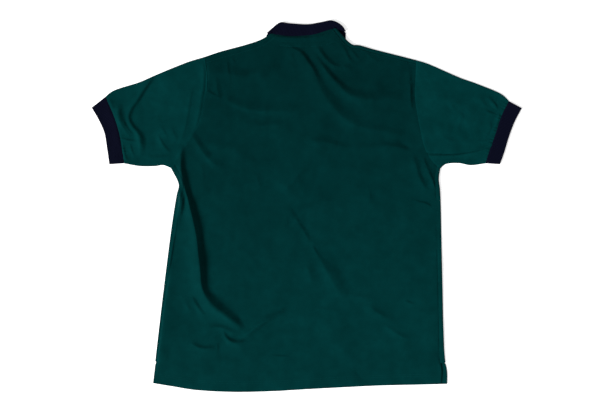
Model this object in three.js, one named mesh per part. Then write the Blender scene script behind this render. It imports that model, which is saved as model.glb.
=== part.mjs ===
// A short-sleeved polo shirt laid out flat with its back uppermost.
// Lengths are millimetres. +X runs to the right across the back, +Y towards the collar, +Z up.
// The origin is on the surface that the shirt lies on, under the middle of its outline.
import * as THREE from "three";

// Cloth
const JERSEY = 1.2; // wall of the front, back and sleeves
const RIB = 1.8; // wall of the flat-knitted collar and cuffs
const SEAM = 0.5; // gap left between two pieces that are sewn together
const LAID = 3.1; // height of the upper face of two layers where nothing lifts it
const RIPPLE = { height: 0.5, alongX: 41, alongY: 53, slant: 67 }; // slow unevenness of laid cloth
const CUFF_LAID = 2 * RIB + 0.6; // least height of a flattened cuff

// Front opening, which lies underneath
const CENTRE_X = -6; // the shirt's own centre line
const PLACKET = { width: 30, length: 150, wall: 1.4, rest: 2.5, gap: 0.3 };
const NECK_FRONT = { y: 286 }; // lowest point of the front neckline
const BUTTON = { radius: 5.8, thick: 2.2, hole: 0.9, holeOff: 1.35, facets: 8 };
const BUTTON_ROW = { first: 14, pitch: 55, count: 3 };

// What lies between the layers lifts them: how far past its outline each layer takes to come down.
const REST = { lift: 2.5, flat: 4, fall: 30 };
const OVER = { collar: 2.8, placket: 4.4, flat: 9, fall: 52 };

// Steps along each edge
const STEPS = { roll: 4, vent: 2, side: 24, slot: 18, armTop: 12, armLow: 6, shoulder: 8, neckBack: 10 };
const VENT = { length: 47, front: { left: 2.5, right: 0 }, back: { left: 0.8 } };

// Turning points [x, y] of the outline, from the hem upwards
const SIDE = {
  left: [[-331, -380], [-315, -240], [-302, -133], [-289, -34], [-280, 22], [-275, 46], [-292, 82]],
  right: [[302, -382], [302, -356], [297, -326], [291, -133], [287, 30], [284, 60], [287, 81]],
};
const ARMHOLE = {
  left: [
    [-292, 82], [-276, 104], [-261, 130], [-244, 154],
    [-232, 181], [-217, 250], [-216, 282], [-222, 320],
  ],
  right: [[287, 81], [272, 94], [255, 121], [244, 164], [236, 207], [232, 239], [234, 282], [235, 314]],
};
const SHOULDER = {
  left: [[-222, 320], [-186, 332], [-134, 346], [-100, 357], [-76, 371]],
  right: [[235, 314], [192, 325], [141, 338], [113, 346], [97, 348], [63, 383]],
};
const HEM = [
  [-331, -380], [-289, -387], [-237, -395], [-152, -399],
  [-83, -398], [3, -393], [141, -386], [302, -382],
];
const SLOT_FOOT_Y = -392; // hem under the placket
const NECK_BACK = [[-76, 371], [-44, 366], [-14, 366], [16, 369], [42, 377], [63, 383]];
const NECK_SIDE = { left: [[-77, 336], [-52, 299]], right: [[65, 338], [40, 300]] };

// Sleeves, from the armpit and the shoulder out to the cuff
const SLEEVE_UNDER = {
  left: [[-292, 82], [-308, 88], [-326, 86], [-358, 86], [-393, 92]],
  right: [[287, 81], [296, 89], [308, 92], [330, 92], [351, 88], [386, 92]],
};
const SLEEVE_TOP = {
  left: [[-222, 320], [-255, 310], [-324, 282], [-358, 267], [-418, 247], [-434, 234]],
  right: [[235, 314], [261, 306], [330, 276], [364, 264], [420, 240], [436, 225]],
};
const CUFF_SEAM = {
  left: [[-393, 92], [-400, 142], [-410, 181], [-421, 209], [-434, 234]],
  right: [[386, 92], [394, 117], [405, 147], [420, 192], [436, 225]],
};
const CUFF_EDGE = {
  left: [[-424, 90], [-429, 125], [-435, 159], [-448, 188], [-462, 212]],
  right: [[415, 90], [424, 115], [433, 145], [446, 180], [462, 211]],
};

// How far the seams lie in from the folded edges: [y, inset] for the sides
const SIDE_INSET = {
  left: [[-400, 3.5], [-230, 3.5], [-180, 5.5], [-110, 10], [-50, 12], [90, 12]],
  right: [[-400, 15], [-334, 11], [-250, 9], [90, 9]],
};
const SHOULDER_INSET = { left: 10, right: 7 };

// Collar leaf: its outer edge from the point to the back, and its inner edge from the front to the back
const LEAF_OUTER = {
  left: [[-46, 240], [-62, 275], [-80, 315], [-88, 350], [-86, 372]],
  right: [[36, 240], [54, 275], [72, 315], [83, 350], [84, 376]],
};
const LEAF_INNER = {
  left: [[-8, 293], [-30, 301], [-48, 314], [-57, 332], [-52, 342]],
  right: [[-4, 293], [18, 301], [37, 314], [46, 332], [42, 344]],
};
const LEAF_BACK = {
  outer: [
    [-86, 372], [-74, 383], [-57, 395], [-36, 393], [3, 391],
    [29, 395], [55, 399], [76, 388], [84, 376],
  ],
  inner: [[-52, 342], [-30, 349], [24, 350], [42, 344]],
};
const STAND_END = { left: [-77.5, 372.4], right: [71.5, 378] };
const LEAF_STEPS = { front: 7, back: 14, across: 4 };

// Folds of the upper layer. Each row is a point of the crest: x, y, its height, and how far the cloth
// takes to come down on the left and on the right of the way that the rows run.
const FOLDS = {
  side: [
    [-290, 92, 1, 8, 8], [-276, 50, 5, 8, 9], [-262, 22, 9, 9, 12], [-250, -4, 12, 9, 18],
    [-241, -40, 14, 9, 26], [-235, -80, 15, 9, 32], [-230, -125, 14, 9, 34], [-226, -160, 11, 10, 30],
    [-212, -196, 8, 10, 24], [-188, -222, 6, 11, 18], [-158, -248, 3, 12, 15], [-138, -264, 0, 12, 15],
  ],
  sideBank: [
    [-236, 60, 0, 22, 12], [-212, 0, 3, 24, 12], [-198, -80, 4, 26, 12], [-188, -150, 3, 26, 12],
    [-160, -195, 0, 24, 12],
  ],
  lowSweep: [
    [-192, -284, 0, 9, 12], [-168, -298, 4, 8, 14], [-140, -300, 5, 8, 14], [-96, -276, 4, 9, 15],
    [-50, -238, 0, 10, 14],
  ],
  lowCrease: [[-258, -302, 0, 7, 10], [-228, -306, 3, 7, 11], [-196, -306, 0, 7, 10]],
  midCrease: [[-46, 4, 0, 7, 14], [-30, -30, 3.5, 7, 15], [-8, -72, 4, 7, 15], [24, -126, 2, 8, 16]],
  midBulge: [[24, -126, 2, 9, 16], [50, -160, 5, 9, 20], [66, -196, 4, 10, 20], [66, -236, 0, 12, 20]],
  lowRight: [
    [112, -210, 0, 14, 18], [150, -240, 3, 13, 18], [190, -270, 3, 13, 18], [226, -292, 0, 14, 18],
  ],
  neckRidge: [
    [8, 340, 0, 12, 10], [24, 318, 4, 16, 11], [38, 288, 7, 20, 12], [56, 250, 7, 20, 13],
    [84, 224, 6, 18, 14], [128, 208, 5, 15, 14], [178, 194, 0, 14, 14],
  ],
  neckPleat: [
    [46, 346, 0, 14, 10], [66, 318, 5, 14, 10], [84, 294, 6, 14, 11], [112, 270, 6, 15, 11],
    [150, 264, 4, 15, 12], [196, 260, 0, 15, 12],
  ],
  neckBank: [
    [-20, 326, 0, 10, 20], [-6, 290, 3.5, 10, 24], [6, 250, 5, 10, 26], [22, 208, 4.5, 11, 26],
    [60, 172, 4, 12, 22], [110, 158, 3.5, 12, 18], [170, 154, 0, 12, 16],
  ],
  bladeRight: [[20, 126, 0, 10, 16], [80, 118, 2.5, 9, 16], [150, 120, 3, 9, 16], [212, 112, 0, 10, 14]],
  bladeLeft: [
    [-196, 232, 0, 9, 12], [-160, 218, 4, 10, 14], [-112, 200, 4, 11, 15], [-68, 196, 3, 12, 15],
    [-30, 200, 0, 12, 14],
  ],
  yoke: [
    [-166, 286, 0, 14, 16], [-130, 300, 3.5, 14, 16], [-84, 304, 3.5, 14, 16], [-44, 296, 0, 14, 16],
  ],
  shoulderLeft: [[-186, 318, 0, 8, 10], [-184, 288, 3.5, 8, 10], [-178, 252, 0, 8, 10]],
  armLeft: [[-250, 146, 0, 9, 12], [-234, 118, 4, 9, 12], [-216, 84, 0, 9, 12]],
  armpitRight: [[246, 96, 0, 8, 9], [262, 68, 4, 8, 9], [276, 40, 0, 8, 8]],
  sideRight: [[222, 4, 0, 8, 9], [244, 1, 2.5, 8, 9], [264, -2, 0, 8, 9]],
  sleeveLeftOuter: [
    [-316, 290, 0, 11, 12], [-344, 268, 5, 10, 12], [-368, 240, 6, 9, 13], [-384, 206, 5, 9, 13],
    [-396, 180, 0, 9, 12],
  ],
  sleeveLeftInner: [
    [-296, 276, 0, 14, 10], [-316, 258, 4, 14, 10], [-336, 236, 6, 15, 9], [-350, 208, 5, 15, 9],
    [-356, 180, 0, 14, 10],
  ],
  elbowLeft: [[-386, 190, 0, 9, 9], [-378, 170, 5, 9, 9], [-364, 148, 5, 9, 10], [-350, 122, 0, 9, 10]],
  underLeft: [[-340, 176, 0, 12, 9], [-334, 152, 4, 12, 9], [-322, 118, 0, 12, 9]],
  sleeveRightOver: [[262, 280, 0, 14, 16], [312, 262, 3, 14, 16], [372, 236, 0, 14, 16]],
  sleeveRightMid: [[270, 214, 0, 18, 18], [318, 200, 3.5, 18, 18], [372, 182, 0, 16, 18]],
};

const at2 = ([x, y]) => new THREE.Vector3(x, y, 0);
const curve = (points) => new THREE.CatmullRomCurve3(points.map(at2), false, "centripetal");
const steps = (n) => Array.from({ length: n + 1 }, (_, k) => k / n);
const falling = (from, to, x) => 1 - THREE.MathUtils.smoothstep(x, from, to);
const OTHER = { left: -1, right: 1 }; // side on which the body lies of an edge that runs upwards
const SIDES = ["left", "right"];

// The point s along a curve, moved off to the left of its direction.
function pointAlong(line, s, off = 0) {
  const u = THREE.MathUtils.clamp(s / line.getLength(), 0, 1);
  const t = line.getTangentAt(u);
  return line.getPointAt(u).add(new THREE.Vector3(-t.y, t.x, 0).multiplyScalar(off));
}

// Straight-line reading of a table of two columns.
function read(table, x) {
  const next = table.findIndex(([key]) => key >= x);
  if (next === 0) return table[0][1];
  if (next < 0) return table[table.length - 1][1];
  const [a, p] = table[next - 1];
  const [b, q] = table[next];
  return THREE.MathUtils.mapLinear(x, a, b, p, q);
}

// Distance from (x, y) to the nearest place on a row of points, with what is needed to read a height there.
function nearest(points, x, y) {
  let best = { far: Infinity };
  for (let i = 0; i < points.length - 1; i++) {
    const a = points[i];
    const b = points[i + 1];
    const dx = b.x - a.x;
    const dy = b.y - a.y;
    const along = ((x - a.x) * dx + (y - a.y) * dy) / (dx * dx + dy * dy);
    const t = THREE.MathUtils.clamp(along, 0, 1);
    const far = Math.hypot(x - a.x - t * dx, y - a.y - t * dy);
    if (far < best.far) best = { far, i, t, left: (y - a.y) * dx - (x - a.x) * dy > 0 };
  }
  return best;
}

// A fold read along a smooth curve: the crest with its height as z, and the two spreads beside it.
const FOLD_PARTS = 4;
const folds = Object.values(FOLDS).map((rows) => {
  const n = (rows.length - 1) * FOLD_PARTS;
  const crest = new THREE.CatmullRomCurve3(rows.map(([x, y, rise]) => new THREE.Vector3(x, y, rise)));
  const spread = rows.slice(1).flatMap(([, , , left, right], i) =>
    steps(FOLD_PARTS).slice(i === 0 ? 0 : 1).map((u) => ({
      left: THREE.MathUtils.lerp(rows[i][3], left, u),
      right: THREE.MathUtils.lerp(rows[i][4], right, u),
    })),
  );
  return { crest: crest.getPoints(n), spread };
});
function foldHeight({ crest, spread }, x, y) {
  const { far, i, t, left } = nearest(crest, x, y);
  const rise = THREE.MathUtils.lerp(crest[i].z, crest[i + 1].z, t);
  const flank = left ? "left" : "right";
  const wide = THREE.MathUtils.lerp(spread[i][flank], spread[i + 1][flank], t);
  return Math.max(0, rise) * Math.exp(-((far / wide) ** 2));
}

// Distance outside a closed outline; 0 within it.
function outside(outline, x, y) {
  const shut = [...outline, outline[0]];
  let within = false;
  for (let i = 0; i < outline.length; i++) {
    const a = shut[i];
    const b = shut[i + 1];
    if (a.y > y !== b.y > y && x < a.x + ((y - a.y) * (b.x - a.x)) / (b.y - a.y)) within = !within;
  }
  return within ? 0 : nearest(shut, x, y).far;
}
const collarOutline = [
  ...LEAF_OUTER.left,
  ...LEAF_BACK.outer.slice(1),
  ...LEAF_OUTER.right.slice(0, -1).reverse(),
].map(at2);
const halfPlacket = PLACKET.width / 2;
const placketFoot = NECK_FRONT.y - PLACKET.length;
const placketOutline = [
  [CENTRE_X - halfPlacket, placketFoot], [CENTRE_X + halfPlacket, placketFoot],
  [CENTRE_X + halfPlacket, NECK_FRONT.y], [CENTRE_X - halfPlacket, NECK_FRONT.y],
].map(at2);

// Height of the lower layer's underside, which rests on the surface except over the collar and buttons.
function under(x, y) {
  const away = Math.min(outside(collarOutline, x, y), outside(placketOutline, x, y));
  return REST.lift * falling(REST.flat, REST.flat + REST.fall, away);
}

// Height of the upper face.
function top(x, y) {
  const share = (outline) => falling(OVER.flat, OVER.flat + OVER.fall, outside(outline, x, y));
  const overCollar = OVER.collar * share(collarOutline);
  const lift = THREE.MathUtils.lerp(overCollar, OVER.placket, share(placketOutline));
  const wave = Math.sin(x / RIPPLE.alongX + y / RIPPLE.slant) * Math.cos(y / RIPPLE.alongY);
  const ripple = RIPPLE.height * (1 + wave);
  return LAID + lift + ripple + folds.reduce((sum, fold) => sum + foldHeight(fold, x, y), 0);
}

// A surface gives the two faces of a flattened tube of cloth.
const body = { top, under, wall: JERSEY };
const cuff = { top: (x, y) => Math.max(top(x, y), CUFF_LAID), under: () => 0, wall: RIB };
const frontStand = { top: () => CUFF_LAID, under: () => 0, wall: RIB };
const backStand = { top, under: () => 0, wall: RIB };

// Each point of a piece of cloth has an outer and an inner place. A wall on a slope is made taller.
const SLOPE_STEP = 2;
function upper(p, { top: high, wall }) {
  const slope = (dx, dy) => (high(p.x + dx, p.y + dy) - high(p.x - dx, p.y - dy)) / (2 * SLOPE_STEP);
  const z = high(p.x, p.y);
  const deep = wall * Math.sqrt(1 + slope(SLOPE_STEP, 0) ** 2 + slope(0, SLOPE_STEP) ** 2);
  return { outer: new THREE.Vector3(p.x, p.y, z), inner: new THREE.Vector3(p.x, p.y, z - deep) };
}
function lower(p, { under: low, wall }) {
  const z = low(p.x, p.y);
  return { outer: new THREE.Vector3(p.x, p.y, z), inner: new THREE.Vector3(p.x, p.y, z + wall) };
}

const RADIUS_ROUNDS = 5;
// Radius of the folded edge at the start of a run, which is a function from the distance in to a point.
function foldRadius(run, surface) {
  let radius = surface.wall;
  for (let i = 0; i < RADIUS_ROUNDS; i++) {
    const { x, y } = run(radius);
    radius = (surface.top(x, y) - surface.under(x, y)) / 2;
  }
  return radius;
}

// Cloth points round a folded edge, from the lower layer to the upper.
function foldedEdge(run, surface) {
  const radius = foldRadius(run, surface);
  const p = run(radius);
  const out = run(0).sub(p).normalize();
  const centre = new THREE.Vector3(p.x, p.y, surface.under(p.x, p.y) + radius);
  const round = steps(STEPS.roll).slice(1, -1).map((part) => {
    const turn = Math.PI * (part - 0.5);
    const spoke = out.clone().multiplyScalar(Math.cos(turn)).setZ(Math.sin(turn));
    return {
      outer: centre.clone().addScaledVector(spoke, radius),
      inner: centre.clone().addScaledVector(spoke, radius - surface.wall),
    };
  });
  return [lower(p, surface), ...round, upper(p, surface)];
}

// A grid of points that follows four edges.
function patch(bottom, topEdge, left, right) {
  const n = bottom.length - 1;
  const m = left.length - 1;
  return left.map((start, j) =>
    bottom.map((foot, i) => {
      const u = i / n;
      const v = j / m;
      return new THREE.Vector3()
        .addScaledVector(foot, 1 - v).addScaledVector(topEdge[i], v)
        .addScaledVector(start, 1 - u).addScaledVector(right[j], u)
        .addScaledVector(bottom[0], -(1 - u) * (1 - v)).addScaledVector(bottom[n], -u * (1 - v))
        .addScaledVector(topEdge[0], -(1 - u) * v).addScaledVector(topEdge[n], -u * v);
    }),
  );
}

// Collects cloth points and the four-sided cells between them, then closes them into one wall.
class Cloth {
  points = [];
  known = new Map();
  cells = [];

  // The number of a point; one that is already there is used again.
  add(point) {
    const key = point.outer.toArray().map((v) => v.toFixed(3)).join();
    if (!this.known.has(key)) {
      this.known.set(key, this.points.length);
      this.points.push(point);
    }
    return this.known.get(key);
  }

  // Adds rows of points as strips of cells, each turned so that its outer side faces out.
  rows(rows, closed = false) {
    const ids = rows.map((row) => row.map((point) => this.add(point)));
    for (let j = 0; j < ids.length - 1; j++) {
      const count = ids[j].length;
      for (let i = 0; i < (closed ? count : count - 1); i++) {
        const k = (i + 1) % count;
        this.cell([ids[j][i], ids[j][k], ids[j + 1][k], ids[j + 1][i]]);
      }
    }
    return this;
  }

  cell(ids) {
    const [a, b, c, d] = ids.map((id) => this.points[id]);
    const facing = c.outer.clone().sub(a.outer).cross(d.outer.clone().sub(b.outer));
    const out = [a, b, c, d].reduce((sum, p) => sum.add(p.outer).sub(p.inner), new THREE.Vector3());
    this.cells.push(facing.dot(out) > 0 ? ids : [...ids].reverse());
  }

  // The closed wall: outer faces, inner faces, and a strip along every open edge.
  geometry() {
    const n = this.points.length;
    const position = new Float32Array(n * 6);
    this.points.forEach(({ outer, inner }, i) => {
      outer.toArray(position, i * 3);
      inner.toArray(position, (n + i) * 3);
    });
    const index = [];
    const edges = new Map();
    for (const [a, b, c, d] of this.cells) {
      index.push(a, b, c, a, c, d, n + a, n + c, n + b, n + a, n + d, n + c);
      [[a, b], [b, c], [c, d], [d, a]].forEach(([p, q]) => edges.set(`${p},${q}`, [p, q]));
    }
    for (const [p, q] of edges.values()) {
      if (!edges.has(`${q},${p}`)) index.push(q, p, n + p, q, n + p, n + q);
    }
    const geometry = new THREE.BufferGeometry();
    geometry.setAttribute("position", new THREE.BufferAttribute(position, 3));
    geometry.setIndex(index);
    return geometry;
  }
}

const shirt = new THREE.Group();
const GREEN = new THREE.MeshStandardMaterial({ color: 0x0b3f40, roughness: 0.9, metalness: 0 });
const NAVY = new THREE.MeshStandardMaterial({ color: 0x12142a, roughness: 0.95, metalness: 0 });
const PLASTIC = new THREE.MeshStandardMaterial({ color: 0x1a1d33, roughness: 0.35, metalness: 0 });
function piece(name, geometry, material) {
  const mesh = new THREE.Mesh(geometry, material);
  mesh.name = name;
  shirt.add(mesh);
}

// Seams that the pieces share. The body keeps to one side of each and the sleeve or collar to the other.
const arm = { left: curve(ARMHOLE.left), right: curve(ARMHOLE.right) };
const neckBack = curve(NECK_BACK);
const armSeam = (side, s) => pointAlong(arm[side], s, (OTHER[side] * SEAM) / 2);
function neckSeam(side, s) {
  const at = side === "left" ? s : neckBack.getLength() - s;
  return pointAlong(neckBack, at, -SEAM / 2);
}

// Runs that go in from each station of a folded edge. Near an end they turn to follow the seam there.
const TURN_STATIONS = 3;
function runsIn(line, places, side, { first, last }) {
  return places.map((u, i) => {
    const t = line.getTangentAt(u);
    const straight = new THREE.Vector3(-t.y, t.x, 0).multiplyScalar(OTHER[side]);
    const toFirst = first ? 1 - i / TURN_STATIONS : 0;
    const toLast = last ? 1 - (places.length - 1 - i) / TURN_STATIONS : 0;
    const share = Math.max(0, toFirst, toLast);
    const seam = toFirst > toLast ? first : last;
    const start = share === 1 ? seam(0) : line.getPointAt(u);
    return (s) => {
      const step = straight.clone().multiplyScalar(s);
      if (share > 0) step.lerp(seam(s).sub(seam(0)), share);
      return start.clone().add(step);
    };
  });
}
const sideRuns = {};
const shoulderRuns = {};
for (const side of SIDES) {
  const edge = curve(SIDE[side]);
  const vent = VENT.length / edge.getLength();
  const places = [
    ...steps(STEPS.vent).map((u) => u * vent),
    ...steps(STEPS.side - STEPS.vent).slice(1).map((u) => vent + (1 - vent) * u),
  ];
  sideRuns[side] = runsIn(edge, places, side, { last: (s) => armSeam(side, s) });
  shoulderRuns[side] = runsIn(curve(SHOULDER[side]), steps(STEPS.shoulder), side, {
    first: (s) => armSeam(side, arm[side].getLength() - s),
    last: (s) => neckSeam(side, s),
  });
}
const sideInset = (side, run) => read(SIDE_INSET[side], run(0).y);

// Places along an armhole, or along any ring of a sleeve, on the upper and the lower layer.
function topPlaces(length, side) {
  const from = sideInset(side, sideRuns[side].at(-1));
  const to = length - SHOULDER_INSET[side];
  return steps(STEPS.armTop).map((u) => THREE.MathUtils.lerp(from, to, u));
}
function lowPlaces(length, radiusA, radiusB) {
  return steps(STEPS.armLow).map((u) => THREE.MathUtils.lerp(radiusA, length - radiusB, u));
}

// Front: one layer on the surface, folded up over the sides and shoulders to the seams on the back.
const STRIP = 2; // cells between the folded edge and the seam
function wrapped(run, inset) {
  const radius = foldRadius(run, body);
  const seam = inset - SEAM / 2;
  const strip = steps(STRIP).slice(1).map((u) => upper(run(THREE.MathUtils.lerp(radius, seam, u)), body));
  return [...foldedEdge(run, body), ...strip];
}
const frontNeck = {};
const slotX = { left: CENTRE_X - halfPlacket, right: CENTRE_X + halfPlacket };
function frontPanel() {
  const cloth = new Cloth();
  const hem = curve(HEM);
  const layer = (grid) => cloth.rows(grid.map((row) => row.map((p) => lower(p, body))));
  const slotLine = {};
  for (const side of SIDES) {
    const sides = sideRuns[side].map((run, i) =>
      run(i < STEPS.vent ? VENT.front[side] : foldRadius(run, body)),
    );
    const radii = [foldRadius(sideRuns[side].at(-1), body), foldRadius(shoulderRuns[side][0], body)];
    const armhole = lowPlaces(arm[side].getLength(), ...radii).map((s) => armSeam(side, s));
    const edge = [...sides, ...armhole.slice(1)];
    const shoulder = shoulderRuns[side].map((run) => run(foldRadius(run, body)));
    const highest = shoulder.at(-1);
    const neck = curve([highest.toArray(), ...NECK_SIDE[side], [slotX[side], NECK_FRONT.y]]);
    frontNeck[side] = neck;
    const slot = [SLOT_FOOT_Y, placketFoot, NECK_FRONT.y].map((y) => new THREE.Vector3(slotX[side], y, 0));
    const inner = [
      ...steps(STEPS.slot).map((u) => slot[0].clone().lerp(slot[1], u)),
      ...steps(STEPS.side - STEPS.slot).slice(1).map((u) => slot[1].clone().lerp(slot[2], u)),
      ...steps(STEPS.armLow).slice(1).map((u) => neck.getPointAt(1 - u)),
    ];
    slotLine[side] = inner.slice(0, STEPS.slot + 1);
    const bottom = steps(STEPS.shoulder).map((u) =>
      hemPoint(hem, THREE.MathUtils.lerp(edge[0].x, slotX[side], u)),
    );
    [bottom[0], bottom[STEPS.shoulder]] = [edge[0], inner[0]];
    layer(patch(bottom, shoulder, edge, inner));
    cloth.rows(sideRuns[side].slice(STEPS.vent).map((run) => wrapped(run, sideInset(side, run))));
    cloth.rows(shoulderRuns[side].map((run) => wrapped(run, SHOULDER_INSET[side])));
  }
  layer(slotLine.left.map((p, j) => [p, slotLine.right[j]]));
  return cloth.geometry();
}
// The point of the hem at a given x.
const HEM_PARTS = 60;
function hemPoint(hem, x) {
  const line = hem.getSpacedPoints(HEM_PARTS);
  const next = Math.max(1, line.findIndex((p) => p.x >= x));
  const a = line[next - 1];
  const b = line[next];
  return new THREE.Vector3(x, THREE.MathUtils.mapLinear(x, a.x, b.x, a.y, b.y), 0);
}
piece("front", frontPanel(), GREEN);

// Back: from the hem to the shoulder seams and the neckline, between the side seams.
const halves = (points) =>
  points.flatMap((p, i) => (i === 0 ? [p] : [points[i - 1].clone().lerp(p, 0.5), p]));
function backPanel() {
  const edge = {};
  const shoulder = {};
  for (const side of SIDES) {
    const seam = sideRuns[side].map((run, i) => {
      const inset = i < STEPS.vent && side === "left" ? VENT.back.left : sideInset(side, run) + SEAM / 2;
      return run(inset);
    });
    const armhole = topPlaces(arm[side].getLength(), side).map((s) => armSeam(side, s)).slice(1);
    const last = armSeam(side, arm[side].getLength() - SHOULDER_INSET[side] - SEAM / 2);
    edge[side] = [...halves(seam), ...armhole.slice(0, -1), last];
    shoulder[side] = shoulderRuns[side].map((run) => run(SHOULDER_INSET[side] + SEAM / 2));
    shoulder[side][0] = last;
  }
  const from = SHOULDER_INSET.left + SEAM / 2;
  const to = neckBack.getLength() - SHOULDER_INSET.right - SEAM / 2;
  const neck = steps(STEPS.neckBack).map((u) =>
    pointAlong(neckBack, THREE.MathUtils.lerp(from, to, u), -SEAM / 2),
  );
  const topEdge = [...shoulder.left.slice(0, -1), ...neck, ...shoulder.right.slice(0, -1).reverse()];
  const hem = curve(HEM);
  const bottom = steps(topEdge.length - 1).map((u) =>
    hemPoint(hem, THREE.MathUtils.lerp(edge.left[0].x, edge.right[0].x, u)),
  );
  bottom[0] = edge.left[0];
  bottom[bottom.length - 1] = edge.right[0];
  const grid = patch(bottom, topEdge, edge.left, edge.right);
  return new Cloth().rows(grid.map((row) => row.map((p) => upper(p, body)))).geometry();
}
piece("back", backPanel(), GREEN);

// A row of points that can be read at any distance along it.
class Row {
  constructor(points) {
    this.points = points;
    this.sums = [0];
    points.slice(1).forEach((p, i) => this.sums.push(this.sums[i] + p.distanceTo(points[i])));
    this.length = this.sums.at(-1);
  }
  at(s) {
    const next = Math.max(1, this.sums.findIndex((sum) => sum >= s));
    const i = this.sums.at(-1) <= s ? this.points.length - 1 : next;
    const t = (s - this.sums[i - 1]) / (this.sums[i] - this.sums[i - 1]);
    return this.points[i - 1].clone().lerp(this.points[i], Math.min(1, t));
  }
}

// One closed ring of a flattened tube across a row of points.
function ring(points, side, surface) {
  const row = new Row(points);
  const fromStart = (s) => row.at(s);
  const fromEnd = (s) => row.at(row.length - s);
  const low = lowPlaces(row.length, foldRadius(fromStart, surface), foldRadius(fromEnd, surface));
  return [
    ...foldedEdge(fromStart, surface),
    ...topPlaces(row.length, side).map((s) => upper(row.at(s), surface)),
    ...foldedEdge(fromEnd, surface).reverse(),
    ...low.slice(1, -1).reverse().map((s) => lower(row.at(s), surface)),
  ];
}

// Sleeves: flattened tubes from the armhole to the cuff. Cuffs: rib bands that go on from there.
const ACROSS = 28;
const SLEEVE_RINGS = 17;
const CUFF_RINGS = 3;
const evenly = (line, n, off = 0) => steps(n).map((u) => pointAlong(line, u * line.getLength(), off));
for (const side of SIDES) {
  const off = (OTHER[side] * SEAM) / 2;
  const armhole = evenly(arm[side], ACROSS, -off);
  const cuffSeam = evenly(curve(CUFF_SEAM[side]), ACROSS, off);
  const underarm = evenly(curve(SLEEVE_UNDER[side]), SLEEVE_RINGS);
  const overarm = evenly(curve(SLEEVE_TOP[side]), SLEEVE_RINGS);
  [underarm[0], overarm[0]] = [armhole[0], armhole.at(-1)];
  [underarm[SLEEVE_RINGS], overarm[SLEEVE_RINGS]] = [cuffSeam[0], cuffSeam.at(-1)];
  const tube = patch(armhole, cuffSeam, underarm, overarm);
  const sleeve = new Cloth().rows(tube.map((row) => ring(row, side, body)), true);
  piece(`sleeve_${side}`, sleeve.geometry(), GREEN);

  const bandStart = evenly(curve(CUFF_SEAM[side]), ACROSS, -off);
  const bandEnd = evenly(curve(CUFF_EDGE[side]), ACROSS);
  const band = steps(CUFF_RINGS).map((u) => bandStart.map((p, i) => p.clone().lerp(bandEnd[i], u)));
  const flatRib = new Cloth().rows(band.map((row) => ring(row, side, cuff)), true);
  piece(`cuff_${side}`, flatRib.geometry(), NAVY);
}

// Collar: the leaf lies on the surface under the shirt. Behind the neck it folds over into the stand,
// which is seen above the back neckline; round the front a narrow stand folds back to the neckline.
function collar() {
  const cloth = new Cloth();
  const frontLine = (points) => evenly(curve(points), LEAF_STEPS.front);
  const backLine = (points) => evenly(curve(points), LEAF_STEPS.back).slice(1, -1);
  const whole = (front, back) =>
    [...frontLine(front.left), ...backLine(back), ...frontLine(front.right).reverse()];
  const outer = whole(LEAF_OUTER, LEAF_BACK.outer);
  const inner = whole(LEAF_INNER, LEAF_BACK.inner);
  const toward = (from, to) => {
    const way = to.clone().sub(from).normalize();
    return { run: (s) => from.clone().addScaledVector(way, s), length: to.distanceTo(from) };
  };

  // Behind the neck, the stand ends along the neckline of the back panel.
  const backSeam = [
    at2(STAND_END.left),
    ...evenly(neckBack, LEAF_STEPS.back - 2, SEAM / 2),
    at2(STAND_END.right),
  ];
  const backFrom = LEAF_STEPS.front;
  const backStations = backSeam.map((p, k) => toward(outer[backFrom + k], p));
  const stand = ({ run, length }, surface, cells) => {
    const radius = foldRadius(run, surface);
    const places = steps(cells).slice(1).map((u) => THREE.MathUtils.lerp(radius, length, u));
    const over = places.map((s) => upper(run(s), surface));
    return [...foldedEdge(run, surface), ...over];
  };
  cloth.rows(backStations.map((station) => stand(station, backStand, STRIP + 1)));

  // Round the front, it ends along the neckline of the front panel.
  const frontStations = {};
  for (const side of SIDES) {
    const neck = frontNeck[side];
    const seam = evenly(neck, STEPS.armLow, -OTHER[side] * SEAM).slice(1).reverse();
    const fold = side === "left" ? inner : [...inner].reverse();
    const ends = [new THREE.Vector3(fold[0].x, NECK_FRONT.y + SEAM, 0), ...seam];
    frontStations[side] = ends.map((p, k) => toward(fold[k], p));
    cloth.rows(frontStations[side].map((station) => stand(station, frontStand, STRIP)));
  }

  // The leaf starts where the folded edges leave off.
  const startOf = (k) => {
    const fromLeft = frontStations.left[k];
    const fromRight = frontStations.right[inner.length - 1 - k];
    const station = fromLeft ?? fromRight;
    return station ? station.run(foldRadius(station.run, frontStand)) : inner[k];
  };
  const endOf = (k) => {
    const station = backStations[k - backFrom];
    return station ? station.run(foldRadius(station.run, backStand)) : outer[k];
  };
  cloth.rows(outer.map((_, k) => {
    const from = startOf(k);
    const to = endOf(k);
    return steps(LEAF_STEPS.across).map((u) => lower(from.clone().lerp(to, u), backStand));
  }));
  return cloth.geometry();
}
piece("collar", collar(), NAVY);

// Placket: two doubled strips, one over the other, in the slot of the front.
for (const [name, layer] of [["placket_over", 0], ["placket_under", 1]]) {
  const wide = PLACKET.width - 2 * SEAM;
  const long = PLACKET.length - 2 * SEAM;
  const strip = new THREE.BoxGeometry(wide, long, PLACKET.wall, 2, 6, 1);
  const z = PLACKET.rest + PLACKET.wall / 2 + layer * (PLACKET.wall + PLACKET.gap);
  strip.translate(CENTRE_X, NECK_FRONT.y - PLACKET.length / 2, z);
  piece(name, strip, GREEN);
}

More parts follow.
